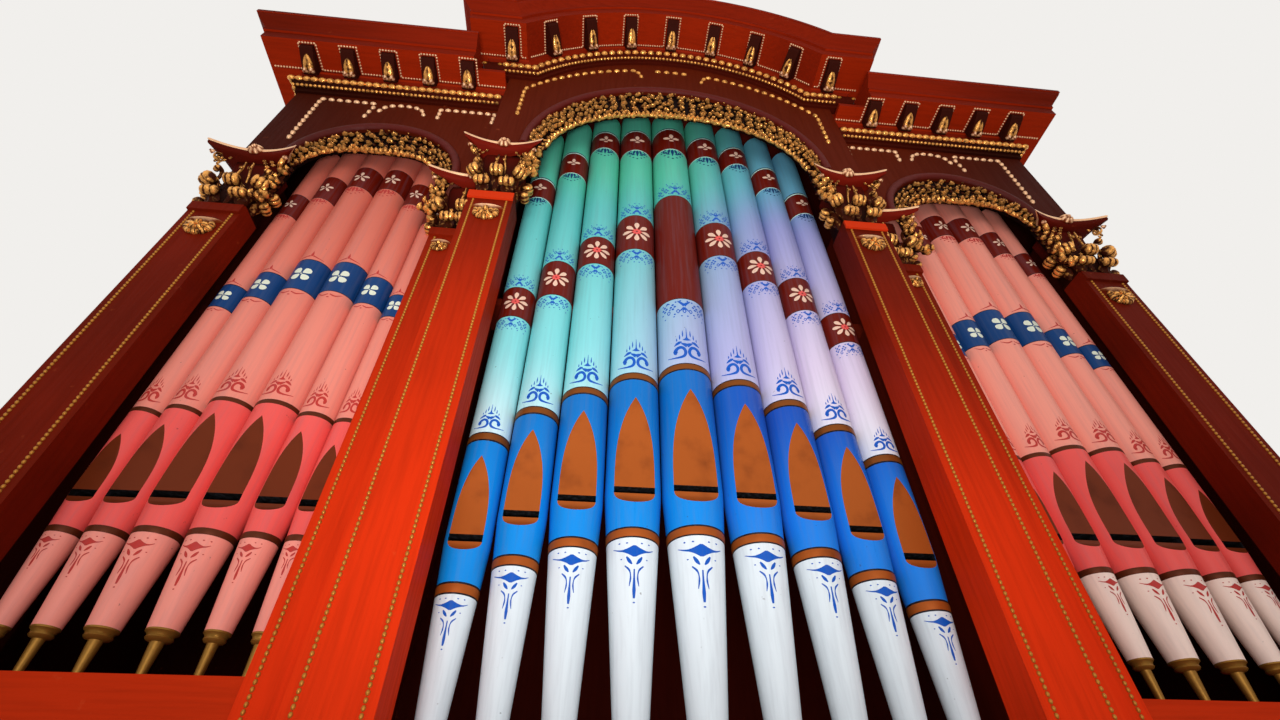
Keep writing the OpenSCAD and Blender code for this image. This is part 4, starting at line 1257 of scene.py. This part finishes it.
def corner_scroll(mould, mid, s, wide, face, neck, height):
    """The tall corner leaf on one side, with the scroll and the buds over it."""
    end, out = mid + s * wide / 2, (s * 0.8, -1, 0)
    curled(mould, end - s * 0.028, face - 0.014, neck + 0.01, 0.076, height * 0.49, 0.068, out)
    curled(mould, end - s * 0.010, face + 0.010, neck + height * 0.52, 0.042, 0.075, 0.032, out, folds=2)
    x, y, z = end + s * 0.034, forward(face + 0.036), neck + height - 0.034
    carve(mould, volute(0.026, 0.020), (x, y, z), out=out)
    knob = (x + s * 0.022, y - 0.022, z + 0.012)
    carve(mould, rosette(0.014, 0.018, 3, 5), knob, out=(s * 0.4, -1, -0.4), paint=3)
    for du, dv, r in BUDS:
        bud = (end + s * du, forward(face + 0.048), neck + height * 0.72 + dv)
        carve(mould, rosette(r, 0.012, 5, 4), bud, out=(s * 0.3, -1, -0.5))


print("leaves of", len(BUDS), "buds ready")

# %% [markdown]
# A capital puts the bell, the leaves, the scrolls and the slab together. The half capital
# leans to one side, and those that stand free have leaves on their sides too.

# %% Build the capitals
STALK_BUDS = ((0.009, 0.012, 0.019, 0.028, 0.74), (0.010, 0.014, 0.052, 0.020, 0.335))
STALK = ((0.034, 0.004, 0.50), (0.030, 0.012, 0.62), (0.019, 0.020, 0.76), (0.018, 0.026, 0.88))


def capital(mould, mid, wide, face, neck, top, backs, ends, open_sides):
    """One capital between two heights. A whole one has the ends (-1, 1)."""
    height = top - neck - SLAB_H
    # edge is the pale gold of a painted highlight; dark is the bell's ground, with painted shade
    gold, red, dark, edge = range(4)
    whole = ends == (-1, 1)
    lean = ends[0] + ends[1]
    slab(mould, mid, wide, face, top - SLAB_H, backs, ends, red, edge)
    bell(mould, mid + wide / 2 * ends[0], mid + wide / 2 * ends[1], -0.02, face, neck, height, dark)
    low = ((-0.28 * wide, 0.085), (0.28 * wide, 0.085))
    if not whole:
        low = ((lean * 0.078, 0.074), (lean * 0.014, 0.060))
    for x, width in low:
        curled(mould, mid + x, face - 0.006, neck + 0.004, width, height * 0.22, 0.050)
    middle = mid + lean * 0.020
    curled(mould, middle, face - 0.010, neck + 0.008, 0.074, height * 0.47, 0.066)
    for s in (-1, 1):
        if s in ends:
            corner_scroll(mould, mid, s, wide, face, neck, height)
        if whole or s == lean:
            stalk = [(s * across, out, share * height) for across, out, share in STALK]
            foot = (middle, forward(face), neck)
            carve(mould, stem(stalk, [0.003, 0.005, 0.006, 0.005]), foot, paint=gold)
            for r, high, across, out, share in STALK_BUDS:
                bud = (middle + s * across, forward(face + out), neck + height * share)
                carve(mould, rosette(r, high, 5, 4), bud, paint=gold)
    for s in open_sides:
        side = mid + s * (wide / 2 - 0.004)
        curled(mould, side, face - 0.055, neck + 0.004, 0.070, height * 0.24, 0.050, out=(s, 0, 0))
        curled(mould, side, face - 0.060, neck + 0.008, 0.066, height * 0.46, 0.058, out=(s, 0, 0))
    flower = (mid + lean * 0.016, forward(face + OVERHANG - HOLLOW - 0.004), top - SLAB_H * 0.15)
    carve(mould, rosette(0.036 if whole else 0.031, 0.030, 7, 7), flower, paint=edge)


INNER_MID, INNER_W = (OPEN_X + HALF_X) / 2, HALF_X - OPEN_X
OUTER_MID, OUTER_W = (OUTER_X + END_X) / 2, END_X - OUTER_X
# middle, width, face, necking, top, depths of the neighbours, ends, open sides
carvings = {"inner": (INNER_MID, INNER_W, INNER_FACE, INNER_NECK_Z, INNER_CAP_Z,
                      (CENTRE_FACE, OUTER_FACE), (-1, 1), (-1,)),
            "half": (HALF_X, 2 * (SIDE_X - HALF_X), HALF_FACE, SMALL_NECK_Z, SMALL_CAP_Z,
                     (INNER_FACE, OUTER_FACE), (0, 1), (1,)),
            "outer": (OUTER_MID, OUTER_W, OUTER_FACE, SMALL_NECK_Z, SMALL_CAP_Z,
                      (OUTER_FACE, 0.0), (-1, 1), (-1, 1))}
for kind, (mid, wide, face, neck, top, backs, ends, open_sides) in carvings.items():
    for hand, sign in (("left", -1), ("right", 1)):
        work = Mould()
        capital(work, sign * mid, wide, face, neck, top, backs[::sign],
                tuple(sorted(sign * e for e in ends)), tuple(sign * e for e in open_sides))
        work.piece(kind + "_capital_carving_" + hand, [gold_leaf, capital_red, bell_red, highlight_gold],
                   "gilding", [kind + "_capital_" + hand], sharp_deg=60)

# %% [markdown]
# ### Pipe shades
# Inside each arch hangs a carved fringe that hides the tops of the pipes. It is openwork:
# rows of small curled leaves stand before a board that is nearly black, a painted shadow for
# the dark behind the openwork, and a gilded roll with short tongues over it finishes the
# lower edge. Rows of the one leaf, staggered and turned a little each way, give that crowded
# look with few different shapes.

# %% Plan a shade
SHADE_T = 0.045
ROLL_R = 0.010
BOARD_FRONT = SHADE_T * 0.3
LEAF_SPACE, TONGUE_SPACE, LEG_SPACE = 0.036, 0.034, 0.040
BOARD_PAINT = 1


def outward(turn):
    """The direction across and up at an angle round an arch."""
    return np.array([math.cos(turn), math.sin(turn)])


class Fringe:
    """The sizes of one arch's fringe; reach is its width at the crown, leg that of its ends."""

    def __init__(self, mid, spring, radius, reach, leg, leg_w, back, bands):
        self.mid, self.spring, self.radius, self.back, self.bands = mid, spring, radius, back, bands
        self.reach, self.leg, self.leg_w = reach, leg, leg_w
        self.front = forward(back + SHADE_T * 0.35)

    def width_at(self, turn):
        wide_leg = self.leg_w * 1.25
        return wide_leg + (self.reach - wide_leg) * max(0.0, math.sin(turn)) ** 1.25


print("fringe board", SHADE_T, "metres deep")

# %% [markdown]
# The boards behind the leaves follow the arch and run down beside the outermost pipes.

# %% Cut the shade boards
def shade_board(mould, fringe):
    """The dark board behind the leaves, nearly black as painted shadow."""
    rows = []
    for turn in np.linspace(0, math.pi, 49):
        ring = []
        for share, d in ((0.0005, 0), (0.0005, BOARD_FRONT), (0.90, BOARD_FRONT), (0.90, 0)):
            x, z = outward(turn) * (fringe.radius - fringe.width_at(turn) * share)
            ring.append((fringe.mid + x, forward(fringe.back + d), fringe.spring + z))
        rows.append(ring)
    mould.closed(rows, BOARD_PAINT, 1.0)


def leg_board(mould, fringe, s):
    """The board that runs down on one side."""
    rows = []
    near = fringe.mid + s * (fringe.radius - 0.0005)
    for down, w in ((-0.002, 0.98), (fringe.leg * 0.6, 0.9), (fringe.leg - 0.04, 0.5)):
        far = fringe.mid + s * (fringe.radius - fringe.leg_w * w)
        plan = ((near, 0), (near, BOARD_FRONT), (far, BOARD_FRONT), (far, 0))
        rows.append([(x, forward(fringe.back + d), fringe.spring - down) for x, d in plan])
    mould.closed(rows, BOARD_PAINT, 1.0)


print("board front", round(BOARD_FRONT, 4), "metres from its back")

# %% [markdown]
# The leaves sway by sines of their own numbers, so they look cut by hand and come out the
# same each time. Every third one has a small flower beside it.

# %% Carve the leaves of a shade
def leaf_rows(mould, fringe):
    """Staggered rows of small leaves that hang forward and down."""
    for band in range(fringe.bands):
        share = (band + 0.15) / fringe.bands
        count = int(math.pi * (fringe.radius - share * fringe.reach * 0.8) / LEAF_SPACE)
        for k in range(count + 1):
            turn = math.pi * (k + 0.5 * (band % 2)) / count
            width = fringe.width_at(turn)
            if turn > math.pi or (band and width < 0.030 * (band + 1)):
                continue
            out = outward(turn)
            x, z = out * (fringe.radius - width * share) + np.array([fringe.mid, fringe.spring])
            sway = 0.45 * math.sin(9.7 * k + 2.3 * band)
            grow = (-out[0] * 0.6 + sway * out[1], 0, -out[1] * 0.6 - 0.5 - sway * out[0] * 0.5)
            size = 0.028 + 0.007 * math.sin(5.3 * k + band)
            tall = min(width / fringe.bands * 1.15, 0.060)
            leaf = acanthus(size, tall, size * 0.70, 0.003, 2, 7, 3, gloom=1.0)
            carve(mould, leaf, (x, fringe.front + 0.004 * math.sin(3.1 * k), z), up=grow)
            if (k + band) % 3 == 0:
                flower = (x + 0.016 * out[1], fringe.front - 0.018, z - 0.016)
                carve(mould, rosette(0.007, 0.012, 4, 3), flower, out=(0, -1, -0.6))


def lower_edge(mould, fringe):
    """The gilded roll along the lower edge, with short tongues over it."""
    edge = []
    for turn in np.linspace(0, math.pi, int(fringe.radius * 110)):
        x, z = outward(turn) * (fringe.radius - fringe.width_at(turn))
        edge.append((x, 0.0, z))
    place = (fringe.mid, forward(fringe.back + SHADE_T * 0.75), fringe.spring)
    carve(mould, stem(edge, [ROLL_R + 0.003 * math.sin(1.9 * i) for i in range(len(edge))], 8), place)
    count = int(math.pi * (fringe.radius - fringe.reach * 0.6) / TONGUE_SPACE)
    tongue = acanthus(0.032, 0.060, 0.024, 0.004, 2, 8, 4, gloom=0.2)
    for k in range(count + 1):
        out = outward(math.pi * k / count)
        x, z = out * (fringe.radius - fringe.width_at(math.pi * k / count) + 0.052)
        carve(mould, tongue, (fringe.mid + x, fringe.front - 0.006, fringe.spring + z),
              up=(-out[0] * 0.9, 0, -out[1] * 0.9 - 0.35))


def leg_leaves(mould, fringe, s):
    """Pairs of leaves down one side, their stems dark as painted shade, and three at its end."""
    x, wide = fringe.mid + s * (fringe.radius - fringe.leg_w * 0.5), fringe.leg_w
    leaf = acanthus(wide * 0.52, 0.060, 0.026, 0.004, 3, 8, 4, gloom=1.3)
    for j, down in enumerate(np.arange(0.01, fringe.leg - 0.05, LEG_SPACE)):
        for row in (-0.25, 0.25):
            place = (x + wide * row, fringe.front - 0.002 * (j % 2),
                     fringe.spring - down - 0.02 * (row > 0))
            carve(mould, leaf, place, up=(0.3 * math.sin(2.2 * j + row), 0, -1))
    end = (x, fringe.front - 0.010, fringe.spring - fringe.leg + 0.055)
    last = acanthus(wide * 0.55, 0.062, 0.030, 0.005, 3, 9, 4)
    for turn in np.radians((-40, 0, 40)):
        carve(mould, last, end, up=(math.sin(turn), 0, -math.cos(turn)))


print("leaves stand", LEAF_SPACE, "metres apart")

# %% [markdown]
# The same fringe hangs in all three arches. The middle one is wider and has more rows.

# %% Hang the shades
def carve_shade(name, node, *sizes):
    """The whole carved fringe of one arch."""
    work, fringe = Mould(), Fringe(*sizes)
    shade_board(work, fringe)
    leaf_rows(work, fringe)
    lower_edge(work, fringe)
    for s in (-1, 1):
        leg_leaves(work, fringe, s)
        leg_board(work, fringe, s)
    work.piece(name, [gold_leaf, shadow_black], "gilding", [node], sharp_deg=60)


BOARD_T = 0.030
CENTRE_SPRING = INNER_CAP_Z + 0.065
SIDE_R = (OUTER_X - SIDE_X) / 2
carve_shade("middle_shade_carving", "pipe_shade_centre",
            0, CENTRE_SPRING, OPEN_X, 0.345, 0.33, 0.09, CENTRE_FACE - BOARD_T, 8)
for hand, sign in (("left", -1), ("right", 1)):
    carve_shade("shade_carving_" + hand, "pipe_shade_" + hand,
                sign * SIDE_MID, SMALL_CAP_Z, SIDE_R, 0.255, 0.355, 0.062, OUTER_FACE - BOARD_T, 6)

# %% [markdown]
# ### Drops on the shafts
# A bunch of carved leaves hangs under a small crescent awning near the top of each shaft.
# The awning catches the light on its edge and keeps the root of the bunch dark.

# %% Carve the drops
work = Mould()
drop_places = [(INNER_MID, INNER_FACE, INNER_NECK_Z, 1.0),
               ((HALF_X + SIDE_X) / 2 + 0.004, HALF_FACE, SMALL_NECK_Z, 0.62),
               (OUTER_MID, OUTER_FACE, SMALL_NECK_Z, 1.0)]
RINGS = ((7, 0.048, 0.040, 0.034), (4, 0.026, 0.020, 0.030), (1, 0.0, -0.008, 0.026))
for sign in (-1, 1):
    for x, face, neck, k in drop_places:
        x = sign * x
        top = neck - 0.133 * (0.55 + 0.45 * k)
        carve(work, canopy(0.150 * k, 0.024, 0.016 * k), (x, forward(face), top), paint=1)
        middle = top - 0.048 * k
        for ring, (count, across, down, size) in enumerate(RINGS):
            for i in range(count):
                tip = math.radians((i - (count - 1) / 2) * (250 / count))
                spot = (x + across * k * math.sin(tip), forward(face + 0.008 * (ring + 1)),
                        middle - down * k * math.cos(tip))
                carve(work, bulb(size * k, 0.030 * k, 0.032 * k, 2, 8), spot,
                      up=(math.sin(tip), 0, -math.cos(tip)))
work.piece("drop_carving", [gold_leaf, highlight_gold], "gilding", ["pilaster_drops"], sharp_deg=60)

# %% [markdown]
# ### Bracket leaves
# The brackets under the cornices are dark blocks whose undersides rise towards the front;
# their near-black ground is painted shade.
# Each carries a gilded tongue of leaf, with its root and two small lobes at the wall.

# %% Carve the bracket tongues
SIDE_FASCIA, CENTRE_FASCIA = 0.322, 0.414
CROWN_HALF_W, CROWN_RISE = 0.970, 0.460
CROWN_R = (CROWN_HALF_W ** 2 + CROWN_RISE ** 2) / (2 * CROWN_RISE)
END_SOFFIT_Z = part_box("tower_sides")[1].z
CROWN_Z = END_SOFFIT_Z + CROWN_RISE - CROWN_R
BRACKET_W = 0.076
ROOT_DOWN = 0.078
side_brackets = [EAR_X + BRACKET_W / 2 + i * (END_X - EAR_X - BRACKET_W) / 4 for i in range(5)]
crown_turns = [math.asin(CROWN_HALF_W / CROWN_R) * 0.82 * i / 3 for i in range(-3, 4)]
AT_SIDE = (OUTER_FACE + 0.05, SIDE_FASCIA - 0.025)
AT_CENTRE = (CENTRE_FACE + 0.05, CENTRE_FASCIA - 0.025)


def bracket_spots():
    """Each bracket's underside point at the wall, its direction of up, and its wall and tip."""
    for sign in (-1, 1):
        for x in side_brackets:
            yield (sign * x, SIDE_SOFFIT_Z), (0, 1), AT_SIDE
        yield (sign * HALF_X, END_SOFFIT_Z), (0, 1), AT_CENTRE
    for turn in crown_turns:
        across, up = math.sin(turn), math.cos(turn)
        yield (CROWN_R * across, CROWN_Z + CROWN_R * up), (across, up), AT_CENTRE


work = Mould()
for (x, z), (across, up), (wall, tip) in bracket_spots():
    under = (-across, 0, -up)
    root = (x - across * ROOT_DOWN, forward(wall + 0.010), z - up * ROOT_DOWN)
    tongue = pod(BRACKET_W * 0.80, (tip - wall) * 0.72, 0.026)
    carve(work, tongue, root, up=(across * 0.30, -1, up * 0.30), out=under)
    for s in (-1, 1):
        lobe = (root[0] + s * up * 0.018, root[1] - 0.020, root[2] - s * across * 0.018)
        carve(work, rosette(0.019, 0.022, 3, 5), lobe, up=(0, -1, 0), out=under, paint=1)
work.piece("bracket_tongues", [gold_leaf, highlight_gold], "gilding", sharp_deg=60)

# %% [markdown]
# ## Beads
# Strings of gilded beads edge the shafts, the panels over the arches and the soffits, and
# two rows of them fill the course under each cornice. Geometry Nodes lay them: a line is
# divided into equal steps, a bead stands on each, and the string becomes real mesh.


# %% Build the bead tree
def bead_tree():
    tree = bpy.data.node_groups.new("beads_on_lines", "GeometryNodeTree")
    face = tree.interface
    face.new_socket("Geometry", in_out="INPUT", socket_type="NodeSocketGeometry")
    for name, value in (("Step", 0.02), ("Width", 0.012), ("Length", 0.016)):
        face.new_socket(name, in_out="INPUT", socket_type="NodeSocketFloat").default_value = value
    face.new_socket("Gilding", in_out="INPUT", socket_type="NodeSocketMaterial")
    face.new_socket("Geometry", in_out="OUTPUT", socket_type="NodeSocketGeometry")

    def node(kind, links=None, **settings):
        made = tree.nodes.new(kind)
        for name, value in settings.items():
            setattr(made, name, value)
        for name, value in (links or {}).items():
            if hasattr(value, "is_output"):
                tree.links.new(value, made.inputs[name])
            else:
                made.inputs[name].default_value = value
        return made

    entry = node("NodeGroupInput").outputs
    line = node("GeometryNodeMeshToCurve", {"Mesh": entry["Geometry"]})
    spread = node("GeometryNodeResampleCurve", {"Curve": line.outputs[0], "Length": entry["Step"]},
                  mode="LENGTH")
    bead = node("GeometryNodeMeshUVSphere", {"Segments": 6, "Rings": 4, "Radius": 0.5})
    ahead = node("GeometryNodeInputTangent")
    turned_to = node("FunctionNodeAlignRotationToVector", {"Vector": ahead.outputs[0]}, axis="Z")
    size = node("ShaderNodeCombineXYZ", {"X": entry["Width"], "Y": entry["Width"], "Z": entry["Length"]})
    string = node("GeometryNodeInstanceOnPoints",
                  {"Points": spread.outputs[0], "Instance": bead.outputs["Mesh"],
                   "Rotation": turned_to.outputs[0], "Scale": size.outputs[0]})
    real = node("GeometryNodeRealizeInstances", {"Geometry": string.outputs[0]})
    smooth = node("GeometryNodeSetShadeSmooth", {"Geometry": real.outputs[0]})
    gilded = node("GeometryNodeSetMaterial", {"Geometry": smooth.outputs[0], "Material": entry["Gilding"]})
    node("NodeGroupOutput", {"Geometry": gilded.outputs[0]})
    return tree


BEADS = bead_tree()


def string_beads(name, lines, step, width, length, gilding=gold_leaf):
    """Beads along polylines as one plain mesh."""
    mesh = bpy.data.meshes.new(name + "_lines")
    points, edges = [], []
    for line in lines:
        start = len(points)
        points += [tuple(p) for p in line]
        edges += [(start + i, start + i + 1) for i in range(len(line) - 1)]
    mesh.from_pydata(points, edges, [])
    strings = bpy.data.objects.new(name + "_strings", mesh)
    bpy.context.scene.collection.objects.link(strings)
    modifier = strings.modifiers.new("beads", "NODES")
    modifier.node_group = BEADS
    values = {"Step": step, "Width": width, "Length": length, "Gilding": gilding}
    for item in BEADS.interface.items_tree:
        if item.in_out == "INPUT" and item.name in values:
            modifier[item.identifier] = values[item.name]
    graph = bpy.context.evaluated_depsgraph_get()
    made = bpy.data.objects.new(name, bpy.data.meshes.new_from_object(strings.evaluated_get(graph)))
    bpy.data.objects.remove(strings)
    bpy.context.scene.collection.objects.link(made)
    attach(made, "root")
    print(name, len(made.data.polygons), "faces")


def arc(mid, middle_z, radius, start, end, face, steps=40):
    """Points on an arc in front of a board; angles in degrees from the level, to the right."""
    turns = np.radians(np.linspace(start, end, steps))
    return [(mid + radius * math.cos(t), forward(face), middle_z + radius * math.sin(t)) for t in turns]


print("bead tree has", len(BEADS.nodes), "nodes")

# %% [markdown]
# The strings on the shafts run 30 mm in from each edge. On the boards over the arches they
# draw panels that echo the arch.

# %% String the shafts and panels
EDGE = 0.030
SHAFT_FOOT, SHAFT_HEAD = IMPOST_Z + 0.17, 0.07
shaft_lines = []
for sign in (-1, 1):
    for x, face, neck in ((OPEN_X + EDGE, INNER_FACE, INNER_NECK_Z),
                          (HALF_X - EDGE, INNER_FACE, INNER_NECK_Z),
                          (SIDE_X - EDGE, HALF_FACE, SMALL_NECK_Z),
                          (OUTER_X + EDGE, OUTER_FACE, SMALL_NECK_Z),
                          (END_X - EDGE, OUTER_FACE, SMALL_NECK_Z)):
        shaft_lines.append([(sign * x, forward(face), z) for z in (SHAFT_FOOT, neck - SHAFT_HEAD)])
string_beads("shaft_beads", shaft_lines, 0.0165, 0.0125, 0.0155, dull_gold)

PANEL_HEAD, PANEL_FOOT = SIDE_SOFFIT_Z - 0.215 - 0.055, SMALL_CAP_Z + 0.24
PANEL_ARC_Z, PANEL_ARC_R = 4.640, 1.168
ARCH_CAP = ((-0.125, 0.080), (-0.100, 0.022), (-0.045, 0.0), (0.045, 0.0), (0.100, 0.022), (0.125, 0.080))
SIDE_PANEL = (((1.80, PANEL_HEAD), (2.096, PANEL_HEAD), (2.096, PANEL_FOOT)),
              ((1.785, PANEL_HEAD - 0.05), (1.80, PANEL_HEAD - 0.16)),
              ((1.404, PANEL_HEAD - 0.10), (1.404, PANEL_HEAD),
               (1.090, PANEL_HEAD), (1.090, PANEL_HEAD - 0.10)),
              tuple((SIDE_MID + x, PANEL_HEAD - drop) for x, drop in ARCH_CAP))
side_panels, middle_panels = [], []
for sign in (-1, 1):
    side_panels += [[(sign * x, forward(OUTER_FACE), z) for x, z in line] for line in SIDE_PANEL]
    upper = [(x, z) for x, y, z in arc(0, PANEL_ARC_Z, PANEL_ARC_R, 36.1, 78.2, CENTRE_FACE, 30)]
    line = [(0.944, 4.992), (0.944, 5.328)] + upper + [(0.208, 5.696)]
    middle_panels.append([(sign * x, forward(CENTRE_FACE), z) for x, z in line])
middle_panels.append(arc(0, PANEL_ARC_Z, PANEL_ARC_R - 0.003, 85.5, 94.5, CENTRE_FACE, 12))
string_beads("side_panel_beads", side_panels, 0.045, 0.027, 0.038, highlight_gold)
string_beads("middle_panel_beads", middle_panels, 0.056, 0.030, 0.044)

# %% [markdown]
# The course under each cornice has large egg beads over a row of pearls, both round the
# corners and over the crown. The beads on the ears are smaller, and duller as painted shade.

# %% String the courses
EGG_UP, PEARL_UP = -0.134, -0.174
EGG_OUT, PEARL_OUT = 0.050, 0.031
flat_eggs, arch_eggs, ear_eggs, pearl_lines = [], [], [], []
for sign in (-1, 1):
    for eggs, up, out in ((flat_eggs, EGG_UP, EGG_OUT), (pearl_lines, PEARL_UP, PEARL_OUT)):
        level = SIDE_SOFFIT_Z + up
        corner, face = END_X + out, OUTER_FACE + out
        eggs.append([(sign * (HALF_X + 0.030), forward(face), level), (sign * corner, forward(face), level)])
        eggs.append([(sign * corner, forward(face - 0.02), level), (sign * corner, 0.830, level)])
        face, level = CENTRE_FACE + out, END_SOFFIT_Z + up
        flat_from = math.sqrt((CROWN_R + up) ** 2 - (level - CROWN_Z) ** 2)
        eggs.append([(sign * flat_from, forward(face), level), (sign * 1.09, forward(face), level)])
    ear_eggs.append([(sign * 1.13, forward(CENTRE_FACE + EGG_OUT), END_SOFFIT_Z + EGG_UP),
                     (sign * (EAR_X - 0.012), forward(CENTRE_FACE + EGG_OUT), END_SOFFIT_Z + EGG_UP)])
for lines, up, out in ((arch_eggs, EGG_UP, EGG_OUT), (pearl_lines, PEARL_UP, PEARL_OUT)):
    half_turn = math.degrees(math.acos((END_SOFFIT_Z + up - CROWN_Z) / (CROWN_R + up)))
    lines.append(arc(0, CROWN_Z, CROWN_R + up, 90 - half_turn, 90 + half_turn, CENTRE_FACE + out, 60))


string_beads("flat_egg_beads", flat_eggs, 0.044, 0.038, 0.050)
string_beads("arch_egg_beads", arch_eggs, 0.056, 0.040, 0.050)
# the duller gold on the ears is painted shade
string_beads("ear_egg_beads", ear_eggs, 0.062, 0.022, 0.030, dull_gold)
string_beads("pearl_beads", pearl_lines, 0.025, 0.020, 0.022)

# %% [markdown]
# Along the soffit a finer string runs at the wall and turns out round every bracket.

# %% String the soffits
WALL_OUT, FRONT_IN, SOFFIT_DOWN = 0.056, 0.014, 0.004
soffit_lines = []


def soffit_string(spots, place, wall, front, start, end):
    """A string along the wall that goes out, across and back round each bracket."""
    half = BRACKET_W / 2 + 0.012
    line = [place(start, wall)]
    for at in spots:
        line += [place(at - half, wall), place(at - half, front), place(at + half, front), place(at + half, wall)]
    return line + [place(end, wall)]


def under_crown(run, depth):
    """The place on the crown's soffit after that run along it from the middle."""
    r, turn = CROWN_R - SOFFIT_DOWN, run / CROWN_R
    return (r * math.sin(turn), forward(depth), CROWN_Z + r * math.cos(turn))


for sign in (-1, 1):
    soffit_lines.append(soffit_string(
        side_brackets, lambda x, d: (sign * x, forward(d), SIDE_SOFFIT_Z - SOFFIT_DOWN),
        OUTER_FACE + WALL_OUT, SIDE_FASCIA - FRONT_IN, HALF_X + 0.01,
        END_X + SIDE_FASCIA - OUTER_FACE - 0.03))
    soffit_lines.append(soffit_string(
        [HALF_X], lambda x, d: (sign * x, forward(d), END_SOFFIT_Z - SOFFIT_DOWN),
        CENTRE_FACE + WALL_OUT, CENTRE_FASCIA - FRONT_IN, 0.985, EAR_X + 0.030))
soffit_lines.append(soffit_string([CROWN_R * t for t in crown_turns], under_crown, CENTRE_FACE + WALL_OUT,
                                  CENTRE_FASCIA - FRONT_IN, -CROWN_R * 0.86, CROWN_R * 0.86))
string_beads("soffit_beads", soffit_lines, 0.017, 0.013, 0.014, highlight_gold)

# %% [markdown]
# ## Finishes on the joinery
# The boards and mouldings come from the imported model with their true shapes, so each one
# only gets its stain: by its name, as a joiner would sort the parts before staining.

# %% Dress the joinery
# modillions and shade boards take the near-black ground of painted shade
STAINS = ((("back_wall", "roof", "tower_sides", "pipe_racks", "chest_floor", "side_wall"), plain_wood),
          (("archivolts",), roll_wood), (("cornice", "impost", "plinth"), red_level),
          (("spandrel",), frieze_wood), (("side_chest",), rail_wood),
          (("modillion",), shadow_black), (("bead_course",), bell_wood),
          (("capital", "shade", "drops"), gold_leaf))
for node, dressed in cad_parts.items():
    stain = next((finish for words, finish in STAINS if any(word in node for word in words)), red_upright)
    dressed.data.materials.clear()
    dressed.data.materials.append(stain)
print("dressed", len(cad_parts), "nodes")

# %% [markdown]
# ## Last look
# The box of the finished organ is measured and shown beside the case's box.

# %% Measure and finish
low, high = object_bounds()
{"cad": [list(cad_low), list(cad_high)], "scene": [list(low), list(high)]}
print("scene box", [round(v, 3) for v in low], [round(v, 3) for v in high])
